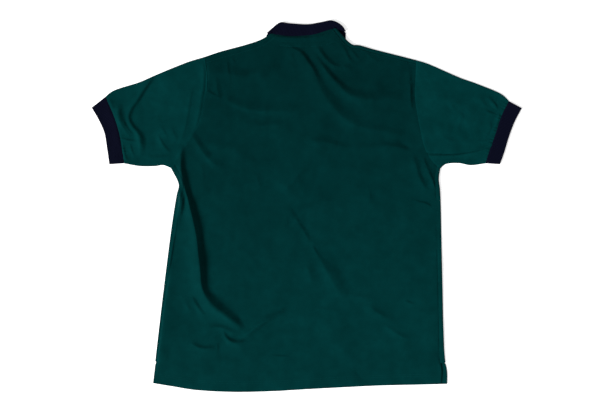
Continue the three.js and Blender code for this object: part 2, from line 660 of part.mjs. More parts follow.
// Buttons: plain discs with four holes, between the placket and the surface.
for (let k = 0; k < BUTTON_ROW.count; k++) {
  const disc = new THREE.Shape().absarc(0, 0, BUTTON.radius, 0, 2 * Math.PI, false);
  for (const [i, j] of [[-1, -1], [1, -1], [1, 1], [-1, 1]]) {
    const hole = new THREE.Path();
    hole.absarc(i * BUTTON.holeOff, j * BUTTON.holeOff, BUTTON.hole, 0, 2 * Math.PI, true);
    disc.holes.push(hole);
  }
  const button = new THREE.ExtrudeGeometry(disc, {
    depth: BUTTON.thick,
    bevelEnabled: false,
    curveSegments: BUTTON.facets,
  });
  button.translate(CENTRE_X, NECK_FRONT.y - BUTTON_ROW.first - k * BUTTON_ROW.pitch, 0);
  piece(`button_${k + 1}`, button, PLASTIC);
}

export default shirt;
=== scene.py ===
import math
import bpy
import bmesh
import numpy as np
from mathutils import Matrix, Vector


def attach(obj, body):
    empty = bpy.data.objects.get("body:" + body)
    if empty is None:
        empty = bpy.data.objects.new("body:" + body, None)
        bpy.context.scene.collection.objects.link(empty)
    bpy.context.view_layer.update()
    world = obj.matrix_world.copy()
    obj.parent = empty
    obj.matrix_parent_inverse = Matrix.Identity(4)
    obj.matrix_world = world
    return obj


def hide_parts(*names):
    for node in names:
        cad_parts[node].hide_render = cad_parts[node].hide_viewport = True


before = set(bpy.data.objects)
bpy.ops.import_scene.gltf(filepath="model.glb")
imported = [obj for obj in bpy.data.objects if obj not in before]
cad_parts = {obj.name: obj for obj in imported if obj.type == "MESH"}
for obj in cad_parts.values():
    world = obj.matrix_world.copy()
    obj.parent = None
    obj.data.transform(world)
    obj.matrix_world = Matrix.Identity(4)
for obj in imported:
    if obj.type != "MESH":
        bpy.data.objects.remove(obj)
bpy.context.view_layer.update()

# --- Back panel ---
# One piece of smooth dark green jersey, cut from hem to shoulder and sewn to the front along both
# sides. It lies on the front panel and has the folds that the shirt was laid down with.
MM = 0.001
SIDES = ("left", "right")
INWARD = {"left": -1, "right": 1}  # side on which the body lies of an edge that runs upwards

# Edges and seams of the laid shirt, each from its lower or left end.
SIDE = {
    "left": [(-331, -380), (-315, -240), (-302, -133), (-289, -34), (-280, 22), (-275, 46),
             (-292, 82)],
    "right": [(302, -382), (302, -356), (297, -326), (291, -133), (287, 30), (284, 60), (287, 81)],
}
ARMHOLE = {
    "left": [(-292, 82), (-276, 104), (-261, 130), (-244, 154), (-232, 181), (-217, 250),
             (-216, 282),
             (-222, 320)],
    "right": [(287, 81), (272, 94), (255, 121), (244, 164), (236, 207), (232, 239), (234, 282),
              (235, 314)],
}
SHOULDER = {
    "left": [(-222, 320), (-186, 332), (-134, 346), (-100, 357), (-76, 371)],
    "right": [(235, 314), (192, 325), (141, 338), (113, 346), (97, 348), (63, 383)],
}
HEM = [(-331, -380), (-289, -387), (-237, -395), (-152, -399), (-83, -398), (3, -393), (141, -386),
       (302, -382)]
NECK_BACK = [(-76, 371), (-44, 366), (-14, 366), (16, 369), (42, 377), (63, 383)]
SIDE_INSET = {
    "left": [(-400, 3.5), (-230, 3.5), (-180, 5.5), (-110, 10), (-50, 12), (90, 12)],
    "right": [(-400, 15), (-334, 11), (-250, 9), (90, 9)],
}
SHOULDER_INSET = {"left": 10, "right": 7}
LEAF_OUTER = {
    "left": [(-46, 240), (-62, 275), (-80, 315), (-88, 350), (-86, 372)],
    "right": [(36, 240), (54, 275), (72, 315), (83, 350), (84, 376)],
}
LEAF_TOP = [(-86, 372), (-74, 383), (-57, 395), (-36, 393), (3, 391), (29, 395), (55, 399),
            (76, 388), (84, 376)]
PLACKET_BOX = [(-21, 136), (9, 136), (9, 286), (-21, 286)]

# A row for each fold: x, y and height of places on its crest, and how far the cloth takes to come
# down on the shaded side (left of the way that the row runs) and on the side towards the light.
# One surface is read for all the pieces, so a fold runs on from piece to piece.
FOLDS = [
    # The deep fold that runs down from the left armpit, and turns in at its foot.
    [(-266, 134, 0, 6, 8), (-270, 108, 5, 6.4, 9), (-270, 80, 8, 6.4, 10), (-266, 54, 10, 6, 12),
     (-258, 24, 11.4, 5.2, 15), (-250, -4, 11.8, 4.6, 19), (-243, -32, 12.2, 4.5, 22),
     (-236, -66, 12.6, 4.4, 24), (-232, -103, 12.6, 4.4, 25), (-228, -139, 12.2, 4.6, 25),
     (-226, -167, 11.2, 5.2, 24), (-220, -189, 10, 8.6, 22), (-206, -209, 9.6, 12.6, 20),
     (-187, -226, 9.8, 13.6, 17), (-166, -242, 8.6, 12.4, 15), (-148, -255, 4.8, 9, 13),
     (-137, -266, 0, 6, 12)],
    # Beside it: the side seam that is pushed up, and the cloth that rises again past the fold.
    [(-276, 48, 0, 4, 4), (-273, 33, 5.4, 6, 4), (-271, 15, 9.2, 7.2, 5), (-272, -2, 7.4, 7.6, 6),
     (-276, -25, 2.8, 5.4, 6), (-281, -53, 2, 4, 5), (-288, -86, 2.2, 4, 5), (-293, -118, 2, 4, 5),
     (-298, -154, 0, 4, 5)],
    [(-265, 37, 0, 3, 4), (-261, 20, -3.6, 6, 6), (-262, 0, -3.6, 6, 7), (-267, -19, 0, 4, 5)],
    [(-291, -105, 0, 10, 5), (-297, -169, 2, 14, 5), (-305, -227, 2.8, 15, 5),
     (-312, -288, 3, 16, 5), (-318, -335, 2.4, 15, 5), (-321, -369, 0, 12, 5)],
    [(-199, 61, 0, 26, 20), (-187, 0, 1, 28, 22), (-169, -79, 1.3, 30, 24),
     (-161, -150, 1, 30, 24), (-144, -195, 0, 26, 20)],
    # Small creases round the foot of the deep fold.
    [(-250, -189, 0, 4, 6), (-241, -206, 2.4, 4.4, 7), (-230, -223, 2.6, 4.6, 7),
     (-217, -240, 0, 4, 7)],
    [(-264, -200, 0, 4, 6), (-254, -219, 1.4, 4, 6), (-242, -236, 0, 4, 6)],
    [(-223, -277, 0, 5, 7), (-207, -263, 2.6, 6, 8), (-187, -261, 3.4, 6, 8),
     (-165, -268, 2, 5, 8), (-150, -279, 0, 4, 7)],
    [(-251, -291, 0, 4, 7), (-238, -301, 2.8, 5, 8), (-221, -306, 4, 5.4, 9),
     (-206, -304, 2.6, 5, 8), (-191, -294, 0, 4, 7)],
    [(-181, -264, 0, 4, 6), (-175, -280, 3, 4.6, 8), (-163, -291, 4.6, 5.4, 10),
     (-148, -293, 4.8, 5.4, 11), (-131, -290, 3, 5, 11), (-113, -279, 0, 5, 10)],
    [(-45, -221, 0, 6, 8), (-64, -231, 4.4, 6, 8), (-83, -242, 7.2, 6, 9), (-103, -255, 8, 6, 9),
     (-121, -268, 7.2, 6, 9), (-136, -280, 4, 5.6, 9), (-150, -290, 0, 5, 8)],
    [(-191, -281, 0, 2.5, 6), (-192, -303, 0.9, 2.5, 6), (-193, -329, 0, 2.5, 6)],
    [(-85, -322, 0, 2.5, 7), (-70, -322, 1.3, 2.5, 7), (-49, -323, 1.2, 2.5, 7),
     (-32, -322, 0, 2.5, 7)],
    [(-79, -273, 0, 6, 12), (-53, -273, 1.2, 6, 12), (-27, -268, 0, 6, 12)],
    # Down the middle.
    [(-46, 9, 0, 3, 9), (-35, -10, 1.1, 4, 10), (-22, -30, 1.8, 4.4, 11), (-9, -51, 2.3, 5, 12),
     (2, -70, 1.8, 5, 12), (9, -81, 0, 4, 10)],
    [(9, -80, 0, 3.4, 9), (17, -94, 1.5, 3.4, 9), (25, -109, 1.6, 4, 9), (32, -121, 2.6, 8, 11),
     (40, -135, 4.6, 13, 14), (51, -152, 5.4, 15, 17), (64, -174, 4.6, 15, 18),
     (76, -193, 2.6, 14, 17), (89, -215, 0, 12, 16)],
    [(-4, -120, 0, 10, 10), (4, -139, 3.4, 14, 12), (11, -161, 2.4, 13, 12), (20, -184, 0, 8, 12)],
    [(68, -83, 0, 3.4, 8), (80, -98, 1, 3.4, 9), (93, -114, 1, 3.4, 9), (110, -129, 0, 3.4, 8)],
    [(82, -184, 0, 6, 12), (106, -194, 1.5, 6, 13), (132, -196, 1.2, 6, 13),
     (155, -195, 0, 6, 12)],
    [(5, -221, 0, 4, 8), (28, -221, 0.8, 4, 8), (54, -222, 0.8, 4, 8), (76, -221, 0, 4, 8)],
    [(-43, -6, 0, 3, 7), (-44, -34, 1, 3, 7), (-42, -64, 0, 3, 7)],
    [(20, 104, 0, 6, 12), (-4, 82, 1.8, 6, 12), (-23, 62, 2.3, 6, 13), (-40, 42, 2.3, 6, 13),
     (-64, 23, 1.4, 6, 12), (-96, 7, 0, 5, 12)],
    [(-109, 74, 0, 4, 8), (-105, 54, 1.1, 4, 8), (-98, 35, 0, 4, 8)],
    # Low on the right.
    [(119, -208, 0, 6, 10), (138, -219, 1.9, 7, 13), (157, -233, 2.4, 6.5, 13),
     (173, -240, 1.3, 6, 11), (190, -247, 0, 6, 10)],
    [(162, -253, 0, 5, 10), (177, -263, 1.9, 6, 11), (192, -274, 2.4, 6, 11),
     (209, -281, 1.8, 6, 10), (228, -283, 0, 6, 10)],
    [(207, -200, 0, 3, 8), (220, -208, 1.7, 3, 8), (237, -209, 0, 3, 8)],
    [(65, -255, 0, 3, 7), (80, -256, 0.9, 3, 8), (99, -255, 0, 3, 7)],
    [(226, 13, 0, 3, 8), (241, 8, 2, 3.2, 9), (256, 5, 2.3, 3.2, 9), (269, -2, 1.2, 3, 8),
     (280, -8, 0, 3, 8)],
    [(134, 43, 0, 3, 8), (135, 20, 1, 3, 8), (136, -6, 0, 3, 8)],
    # From the neck down and across to the right armhole.
    [(-43, 347, 0, 4, 12), (-30, 338, 2.6, 4.5, 17), (-12, 327, 4.4, 5.5, 20), (2, 308, 5, 6, 21),
     (14, 289, 4.8, 6.5, 22), (22, 269, 4.4, 8.6, 22), (31, 248, 4.4, 11.6, 22),
     (45, 227, 4.8, 15, 20), (61, 209, 4.8, 16, 18), (80, 190, 4.6, 15, 16), (104, 175, 4, 13, 15),
     (136, 166, 3, 11, 14), (170, 160, 2.5, 8, 13), (196, 155, 1.9, 8, 13), (224, 151, 0, 8, 12)],
    [(13, 326, 0, 5, 9), (26, 311, 2.6, 5.5, 10), (38, 294, 4.6, 6.5, 11), (52, 276, 5.6, 7.5, 13),
     (69, 258, 6, 8.5, 14), (88, 241, 6.6, 11.6, 15), (109, 232, 6.6, 13, 16),
     (136, 229, 6.2, 13, 16), (168, 231, 4.8, 13, 15), (194, 229, 2.6, 12, 13),
     (220, 222, 0, 9, 12)],
    [(19, 347, 0, 4, 7), (29, 331, 2.6, 5, 8), (41, 315, 3.4, 5.6, 9), (59, 301, 3.2, 6, 9),
     (78, 298, 2.2, 5.4, 8), (97, 299, 0, 4, 8)],
    [(-45, 343, 0, 3, 7), (-35, 326, 1.2, 3, 8), (-23, 312, 0, 3, 7)],
    [(-8, 143, 0, 8, 14), (20, 139, 2.6, 9, 16), (46, 136, 3, 9, 16), (69, 129, 2.8, 9, 16),
     (93, 125, 2.6, 9, 16), (121, 126, 1.8, 8, 16), (145, 126, 2, 8, 14), (170, 128, 3.6, 7.6, 14),
     (194, 126, 3.6, 7.6, 14), (213, 121, 1.8, 7, 12), (228, 114, 0, 6, 12)],
    [(71, 41, 0, 8, 14), (106, 37, 1.2, 8, 14), (140, 43, 0, 8, 14)],
    # Short creases beside the right of the neck, and along the right armhole.
    [(68, 350, 0, 3.5, 5), (78, 339, 1.2, 3.5, 6), (86, 325, 1.6, 3.5, 6), (95, 311, 1.3, 3.5, 7),
     (112, 304, 0.8, 4, 7), (127, 301, 0, 4, 7)],
    [(87, 343, 0, 3, 5), (99, 330, 1.2, 3, 6), (110, 317, 1, 3, 6), (123, 309, 0, 3, 6)],
    [(119, 335, 0, 3.5, 6), (132, 325, 1.1, 3.5, 7), (147, 314, 1.1, 4, 8), (166, 304, 0.7, 4, 8),
     (183, 296, 0, 4, 8)],
    [(205, 310, 0, 4, 8), (198, 280, 1.1, 5, 9), (192, 248, 0, 4, 8)],
    [(220, 306, 0, 3.6, 8), (221, 276, 2, 3.6, 9), (222, 246, 3.4, 3.8, 10),
     (223, 222, 2.4, 3.8, 9), (227, 198, 0, 3.6, 8)],
    [(225, 114, 0, 5, 9), (233, 91, 2.6, 6, 11), (240, 65, 3.2, 6, 11), (252, 41, 2, 6, 10),
     (265, 20, 0, 5, 9)],
    [(245, 119, 0, 3.5, 6), (253, 95, 1.8, 3.8, 7), (262, 72, 2.4, 3.8, 7), (271, 50, 2.2, 3.5, 6),
     (279, 28, 0, 3.5, 6)],
    # The doubled cloth under the neck seam, which stands a little proud.
    [(-81, 364, 0, 3, 12), (-58, 362, 2.4, 3, 18), (-25, 360, 3, 3, 20), (7, 361, 3, 3, 20),
     (37, 366, 2.8, 3, 19), (59, 375, 2, 3, 16), (74, 383, 0, 3, 10)],
    [(-70, 354, 0, 2, 2.4), (-53, 352, -0.6, 2, 2.4), (-23, 351, -0.5, 2, 2.4),
     (11, 352, -0.6, 2, 2.4), (41, 356, -0.5, 2, 2.4), (63, 365, 0, 2, 2.4)],
    # Left shoulder blade and yoke.
    [(-224, 314, 0, 3, 6), (-222, 293, 1, 3.4, 7), (-221, 271, 1.2, 3.4, 8),
     (-222, 254, 1.2, 3.4, 7), (-227, 235, 0.9, 3.4, 6), (-230, 213, 0.8, 3.4, 6),
     (-235, 185, 0.8, 3.5, 6), (-242, 162, 0.5, 3.5, 6), (-252, 140, 0, 3.5, 6)],
    [(-217, 314, 0, 2.4, 3), (-215, 293, -1.7, 2.6, 3), (-215, 271, -3, 2.7, 3),
     (-217, 252, -3, 2.7, 3), (-221, 233, -1.2, 2.4, 3), (-225, 207, -0.9, 2.4, 3),
     (-231, 181, -0.8, 2.4, 3), (-238, 157, 0, 2.4, 3)],
    [(-220, 249, 0, 2.6, 6), (-209, 244, 1.7, 2.8, 7), (-199, 238, 1.6, 2.8, 7),
     (-187, 232, 0.6, 2.6, 7), (-178, 228, 0, 2.5, 7)],
    [(-195, 284, 0, 4, 8), (-194, 263, 2.1, 6, 9), (-191, 243, 2, 6, 9), (-184, 226, 0, 4, 8)],
    [(-171, 319, 0, 3, 7), (-171, 304, 1.4, 3.2, 8), (-168, 284, 1.1, 3.4, 8),
     (-166, 267, 0.8, 3.4, 8), (-165, 250, 0, 3, 7)],
    [(-162, 325, 0, 2.5, 5), (-159, 314, 1.1, 2.5, 5), (-153, 301, 0, 2.5, 5)],
    [(-223, 291, 0, 12, 14), (-197, 286, 3.4, 13, 15), (-171, 284, 2.8, 13, 15),
     (-148, 279, 4.6, 12, 17), (-122, 279, 6.4, 11, 17), (-98, 287, 7.2, 10, 15),
     (-77, 297, 4.2, 10, 12), (-55, 304, 0, 9, 12)],
    [(-182, 235, 0, 9, 8), (-163, 223, 3, 12, 8), (-137, 211, 4.4, 14, 8), (-109, 205, 4.8, 14, 8),
     (-75, 203, 4.8, 14, 8), (-45, 204, 3.4, 13, 8), (-21, 208, 0, 10, 8)],
    [(-137, 178, 0, 8, 14), (-109, 174, 2.6, 9, 14), (-79, 172, 3.2, 9, 14),
     (-51, 176, 2.4, 9, 14), (-25, 185, 0, 8, 14)],
    [(-250, 162, 0, 7, 9), (-238, 139, 3.2, 9, 10), (-226, 120, 4.2, 9.5, 10),
     (-214, 104, 3.8, 9.5, 10), (-199, 91, 2.4, 9, 11), (-180, 80, 0, 8, 12)],
    [(-227, 99, 0, 4, 7), (-225, 76, 0.9, 4, 8), (-222, 50, 0, 4, 7)],
    [(-144, 157, 0, 5, 9), (-136, 141, 0.8, 5, 9), (-128, 125, 0, 5, 9)],
    [(-83, 119, 0, 5, 9), (-75, 102, 0.9, 5, 9), (-63, 86, 0, 5, 9)],
    [(-232, 168, 0, 9, 12), (-212, 138, 2.1, 10, 13), (-174, 125, 2.1, 10, 13),
     (-137, 123, 0, 9, 12)],
    # From the right armhole out over the sleeve.
    [(250, 106, 0, 4, 8), (274, 108, 2, 4, 9), (308, 108, 2.4, 4, 9), (342, 112, 3, 4, 9),
     (370, 119, 3.6, 4, 9), (391, 128, 2.4, 4, 8), (405, 137, 0, 4, 8)],
    [(239, 246, 0, 16, 18), (299, 228, 2, 18, 18), (368, 207, 0, 16, 18)],
]


def distances(line):
    """How far along a row of points each of them lies."""
    return np.concatenate([[0], np.cumsum(np.linalg.norm(np.diff(line[:, :2], axis=0), axis=1))])


def length_of(line):
    return distances(line)[-1]


def at_lengths(line, s):
    """Places at distances s along a row of points; further columns are carried along."""
    far = distances(line)
    return np.stack([np.interp(s, far, values) for values in line.T], 1)


def even(line, n):
    """n + 1 places at equal steps along a row of points."""
    return at_lengths(line, np.linspace(0, length_of(line), n + 1))


def spline(points, n, parts=12):
    """n + 1 even places on a smooth curve through points."""
    p = np.array(points, float)
    p = np.vstack([2 * p[0] - p[1], p, 2 * p[-1] - p[-2]])
    knots = np.sqrt(np.linalg.norm(np.diff(p[:, :2], axis=0), axis=1))
    line = []
    for i in range(len(p) - 3):
        a, b, c, d = p[i:i + 4]
        t1 = knots[i]
        t2 = t1 + knots[i + 1]
        t3 = t2 + knots[i + 2]
        t = np.linspace(t1, t2, parts, endpoint=False)[:, None]
        ab = (t1 - t) / t1 * a + t / t1 * b
        bc = (t2 - t) / (t2 - t1) * b + (t - t1) / (t2 - t1) * c
        cd = (t3 - t) / (t3 - t2) * c + (t - t2) / (t3 - t2) * d
        abc = (t2 - t) / t2 * ab + t / t2 * bc
        bcd = (t3 - t) / (t3 - t1) * bc + (t - t1) / (t3 - t1) * cd
        line.append((t2 - t) / (t2 - t1) * abc + (t - t1) / (t2 - t1) * bcd)
    return even(np.vstack([*line, p[-2]]), n)


def beside(line, xy):
    """Distance of each place from a line, whether it is on its left, and the step it is at."""
    start = line[:-1, :2]
    step = line[1:, :2] - start
    away = xy[:, None] - start
    t = np.clip((away * step).sum(2) / (step ** 2).sum(1), 0, 1)
    far = np.linalg.norm(away - t[..., None] * step, axis=2)
    i = far.argmin(1)
    row = np.arange(len(xy))
    left = step[i, 0] * away[row, i, 1] > step[i, 1] * away[row, i, 0]
    return far[row, i], left, i + t[row, i]


def column(line, at, k, marks=None):
    """Column k of a row of points, read at steps along it, or at other marks than the steps."""
    return np.interp(at, np.arange(len(line)) if marks is None else marks, line[:, k])


def falling(start, end, x):
    """1 up to start, easing down to 0 at end."""
    t = np.clip((x - start) / (end - start), 0, 1)
    return 1 - t * t * (3 - 2 * t)


def outside(outline, xy):
    """Distance outside a closed outline, 0 within it."""
    shut = np.vstack([outline, outline[:1]])
    a, b = shut[:-1], shut[1:]
    x, y = xy[:, :1], xy[:, 1:]
    rise = np.where(b[:, 1] == a[:, 1], 1, b[:, 1] - a[:, 1])
    reached = a[:, 0] + (y - a[:, 1]) * (b[:, 0] - a[:, 0]) / rise
    crosses = ((a[:, 1] > y) != (b[:, 1] > y)) & (x < reached)
    return np.where(crosses.sum(1) % 2 == 1, 0, beside(shut, xy)[0])


COLLAR_OUTLINE = np.array(LEAF_OUTER["left"] + LEAF_TOP[1:] + LEAF_OUTER["right"][:-1][::-1], float)
PLACKET_OUTLINE = np.array(PLACKET_BOX, float)


def fold_lines(folds, parts=6):
    """Smooth crests of folds, from rows of places."""
    return [spline(rows, parts * (len(rows) - 1)) for rows in folds]


FOLD_LINES = fold_lines(FOLDS)
LAID, LEAST = 3.1, 2.6  # upper face of two layers that nothing lifts, and the least it may be
RIPPLE, RIPPLE_X, RIPPLE_SLANT, RIPPLE_Y = 0.5, 41, 67, 53  # slow unevenness of laid cloth
RUMPLES = [(74, 1.3), (33, 1.05), (15, 0.46)]  # size and height of the unevenness of worn cloth
RUMPLE_KNOTS, RUMPLE_TURN = 80, np.array([[0.83, -0.56], [0.56, 0.83]])
# What lies between the layers lifts them: how far, and how far past its outline they come down.
REST_LIFT, REST_FLAT, REST_FALL = 2.5, 4, 30
OVER_COLLAR, OVER_PLACKET, OVER_FLAT, OVER_FALL = 2.8, 4.4, 9, 52
LIT_STEEP = 2.2  # the side of a fold that faces the light is straighter, and ends in a thin foot
FOLD_REACH, SEAM_REACH = 3.2, 3  # spreads past which a fold or a groove no longer counts
SEAM_LINES = []  # a line, its groove's depth and half width; filled in as the edges are drawn


def under(xy):
    """Underside of the lower layer: the collar and the buttons hold it up."""
    away = np.minimum(outside(COLLAR_OUTLINE, xy), outside(PLACKET_OUTLINE, xy))
    return REST_LIFT * falling(REST_FLAT, REST_FLAT + REST_FALL, away)


def rumple(xy, size, seed):
    """Smooth random heights from -1 to 1, uneven at one size."""
    knots = np.random.default_rng(seed).uniform(-1, 1, (RUMPLE_KNOTS, RUMPLE_KNOTS))
    p = (xy @ RUMPLE_TURN) / size + RUMPLE_KNOTS / 2
    cell = np.floor(p).astype(int)
    t = p - cell
    t = t * t * t * (t * (6 * t - 15) + 10)
    (i, j), (u, v) = cell.T, t.T
    low = knots[i, j] * (1 - u) + knots[i + 1, j] * u
    high = knots[i, j + 1] * (1 - u) + knots[i + 1, j + 1] * u
    return low * (1 - v) + high * v


def near_line(line, reach, xy):
    """Which places lie within reach of a line's box."""
    low, high = line[:, :2].min(0) - reach, line[:, :2].max(0) + reach
    return ((xy > low) & (xy < high)).all(1)


def top(xy):
    """Upper face of the upper layer, with every fold, crease and seam."""
    x, y = xy.T
    collar = OVER_COLLAR * falling(OVER_FLAT, OVER_FLAT + OVER_FALL, outside(COLLAR_OUTLINE, xy))
    placket = falling(OVER_FLAT, OVER_FLAT + OVER_FALL, outside(PLACKET_OUTLINE, xy))
    z = LAID + collar + (OVER_PLACKET - collar) * placket
    z += RIPPLE * (1 + np.sin(x / RIPPLE_X + y / RIPPLE_SLANT) * np.cos(y / RIPPLE_Y))
    for k, (size, height) in enumerate(RUMPLES):
        z += height * rumple(xy, size, k)
    for line in FOLD_LINES:
        near = near_line(line, FOLD_REACH * line[:, 3:].max(), xy)
        if near.any():
            far, left, at = beside(line, xy[near])
            t = far / np.where(left, column(line, at, 3), column(line, at, 4))
            lit = np.exp(1 - np.sqrt(1 + (LIT_STEEP * t) ** 2))
            shape = np.where(left, np.exp(-t ** 2), lit)
            z[near] += column(line, at, 2) * shape
    for line, depth, wide in SEAM_LINES:
        near = near_line(line, SEAM_REACH * wide, xy)
        if near.any():
            z[near] -= depth * np.exp(-(beside(line, xy[near])[0] / wide) ** 2)
    return np.maximum(z, LEAST)


class Runs:
    """Lines that run in from a folded edge, one from each station along it."""

    def __init__(self, lines):
        self.lines = lines
        self.far = np.array([distances(line) for line in lines])
        self.length = self.far[:, -1]

    def at(self, s):
        s = np.broadcast_to(s, len(self.lines))
        return np.array([[column(line, d, k, far) for k in (0, 1)]
                         for line, far, d in zip(self.lines, self.far, s)])


def normals(line):
    along = np.gradient(line, axis=0)
    along /= np.linalg.norm(along, axis=1)[:, None]
    return np.stack([-along[:, 1], along[:, 0]], 1)


def moved(line, off):
    """A line moved to its left."""
    return line + off * normals(line)


def edge_runs(line, side, first=None, last=None, reach=60, parts=12, turning=0.125):
    """Runs square to an edge, which turn to follow a seam near the ends that have one."""
    s = np.linspace(0, reach, parts + 1)
    runs = []
    for k, (p, n) in enumerate(zip(line, normals(line) * INWARD[side])):
        u = k / (len(line) - 1)
        to_first = 1 - u / turning if first is not None else 0
        to_last = 1 - (1 - u) / turning if last is not None else 0
        share = max(0, to_first, to_last)
        step = n * s[:, None]
        if share:
            seam = at_lengths(first if to_first > to_last else last, s)
            step = step * (1 - share) + (seam - seam[0]) * share
            p = seam[0] if share == 1 else p
        runs.append(p + step)
    return Runs(np.array(runs))


def coons(bottom, top_edge, left, right, u=None):
    """A net of places that follows four edges."""
    u = (np.linspace(0, 1, len(bottom)) if u is None else u)[None, :, None]
    v = np.linspace(0, 1, len(left))[:, None, None]
    net = bottom[None] * (1 - v) + top_edge[None] * v + left[:, None] * (1 - u) + right[:, None] * u
    net -= bottom[0] * (1 - u) * (1 - v) + bottom[-1] * u * (1 - v)
    return net - top_edge[0] * (1 - u) * v - top_edge[-1] * u * v


SEAM = 0.5  # gap between two pieces that are sewn together
STATIONS = {"vent": 8, "side": 150, "arm": 64, "shoulder": 80, "neck": 48}
LINE_PARTS = {"arm": 200, "neck": 120, "side": 400, "hem": 400, "stitch": 40}
VENT = 47  # its length; below, how far in from the fold each panel's edge lies there
VENT_BACK = {"left": 0.8}
VENT_FRONT = {"left": 2.5, "right": 0.0}
armhole_line = {s: spline(ARMHOLE[s], LINE_PARTS["arm"]) for s in SIDES}
arm = {s: moved(armhole_line[s], INWARD[s] * SEAM / 2) for s in SIDES}
neck_line = spline(NECK_BACK, LINE_PARTS["neck"])
neck_back = moved(neck_line, -SEAM / 2)
side_runs, shoulder_runs = {}, {}
for s in SIDES:
    fine = spline(SIDE[s], LINE_PARTS["side"])
    places = np.concatenate([np.linspace(0, VENT, STATIONS["vent"], endpoint=False),
                             np.linspace(VENT, length_of(fine), STATIONS["side"] + 1)])
    side_runs[s] = edge_runs(at_lengths(fine, places), s, last=arm[s])
    shoulder_runs[s] = edge_runs(spline(SHOULDER[s], STATIONS["shoulder"]), s, first=arm[s][::-1],
                                 last=neck_back if s == "left" else neck_back[::-1])


def inset_of(s):
    """How far each station's seam lies in from the folded side."""
    table = np.array(SIDE_INSET[s])
    return np.interp(side_runs[s].at(0)[:, 1], table[:, 0], table[:, 1])


# Depth and half width of the groove along each kind of seam
SIDE_GROOVE, ARM_GROOVE = (0.9, 2.0), (0.25, 1.2)
NECK_GROOVE, STITCH_GROOVE = (0.8, 1.6), (0.7, 2.2)
back_edge, back_shoulder = {}, {}
for s in SIDES:
    inset = inset_of(s) + SEAM / 2
    if s in VENT_BACK:
        inset[:STATIONS["vent"]] = VENT_BACK[s]
    start, end = inset[-1], length_of(arm[s]) - SHOULDER_INSET[s] - SEAM / 2
    armhole = at_lengths(arm[s], np.linspace(start, end, STATIONS["arm"] + 1))
    side_seam = side_runs[s].at(inset)
    back_edge[s] = np.vstack([side_seam[:-1], armhole])
    back_shoulder[s] = shoulder_runs[s].at(SHOULDER_INSET[s] + SEAM / 2)
    back_shoulder[s][0] = armhole[-1]
    SEAM_LINES.append((side_seam[STATIONS["vent"]::3], *SIDE_GROOVE))
    SEAM_LINES.append((back_shoulder[s][::2], *SIDE_GROOVE))
    SEAM_LINES.append((armhole_line[s][::3], *ARM_GROOVE))
SEAM_LINES.append((neck_line[::3], *NECK_GROOVE))
neck_ends = (SHOULDER_INSET["left"] + SEAM / 2,
             length_of(neck_back) - SHOULDER_INSET["right"] - SEAM / 2)
neck_edge = at_lengths(neck_back, np.linspace(*neck_ends, STATIONS["neck"] + 1))
back_top = np.vstack([back_shoulder["left"][:-1], neck_edge, back_shoulder["right"][:-1][::-1]])
hem = spline(HEM, LINE_PARTS["hem"])

# The facing inside the neck is sewn down along this line.
NECK_STITCH = [(-60, 345), (-30, 342), (0, 342), (32, 345), (62, 353)]
neck_stitch = spline(NECK_STITCH, LINE_PARTS["stitch"])
SEAM_LINES.append((neck_stitch, *STITCH_GROOVE))


def hem_line(x):
    """Places on the hem at given x."""
    return np.stack([x, np.interp(x, hem[:, 0], hem[:, 1])], 1)


def picked(line, shares):
    """Places at shares of the number of points along a row."""
    marks = np.linspace(0, 1, len(line))
    return np.stack([column(line, shares, k, marks) for k in (0, 1)], 1)


def level(z):
    """A surface at one height."""
    return lambda xy: np.full(len(xy), float(z))


def lifted(net, high):
    """A net of places in x and y, with the height of a surface as z."""
    return np.dstack([net, high(net.reshape(-1, 2)).reshape(net.shape[:2])])


def lengths(net):
    """How far each place of a net lies along its rows and its columns, as cloth is measured."""
    u = np.zeros(net.shape[:2])
    v = np.zeros(net.shape[:2])
    u[:, 1:] = np.cumsum(np.linalg.norm(np.diff(net, axis=1), axis=2), axis=1)
    v[1:] = np.cumsum(np.linalg.norm(np.diff(net, axis=0), axis=2), axis=0)
    return u - u.mean(1)[:, None] + u.mean(), v


def add_net(bm, uv, net):
    """Adds a net of places as a grid of faces, with UVs in metres of cloth."""
    rows, columns = net.shape[:2]
    made = bmesh.ops.create_grid(bm, x_segments=columns - 1, y_segments=rows - 1, size=0.5)
    u, v = lengths(net)
    spots = {vert: (round((vert.co.x + 0.5) * (columns - 1)), round((vert.co.y + 0.5) * (rows - 1)))
             for vert in made["verts"]}
    for vert, (i, j) in spots.items():
        vert.co = net[j, i] * MM
        for loop in vert.link_loops:
            loop[uv].uv = (u[j, i] * MM, v[j, i] * MM)


FINEST, COARSEST, BEND = 1.3, 6.5, 0.16  # edge lengths, and how far the cloth may bend along one
SLACK, ROUNDS = 1.25, 3  # an edge is left whole up to this share over its length
MAP_X, MAP_Y, MAP_STEP = (-340, 312), (-404, 390), 2.0  # the squares that bends are measured on


def bend_map():
    """How sharply the upper face bends, at places a map's step apart over the back."""
    x, y = np.arange(*MAP_X, MAP_STEP), np.arange(*MAP_Y, MAP_STEP)
    z = lifted(np.dstack(np.meshgrid(x, y)), top)[..., 2]
    bend = np.zeros(z.shape)
    for i, j in ((0, 1), (1, 0), (1, 1), (1, -1)):
        second = np.abs(np.roll(z, (i, j), (0, 1)) + np.roll(z, (-i, -j), (0, 1)) - 2 * z)
        second /= MAP_STEP ** 2 * (i * i + j * j)
        bend[1:-1, 1:-1] = np.maximum(bend, second)[1:-1, 1:-1]
    return bend


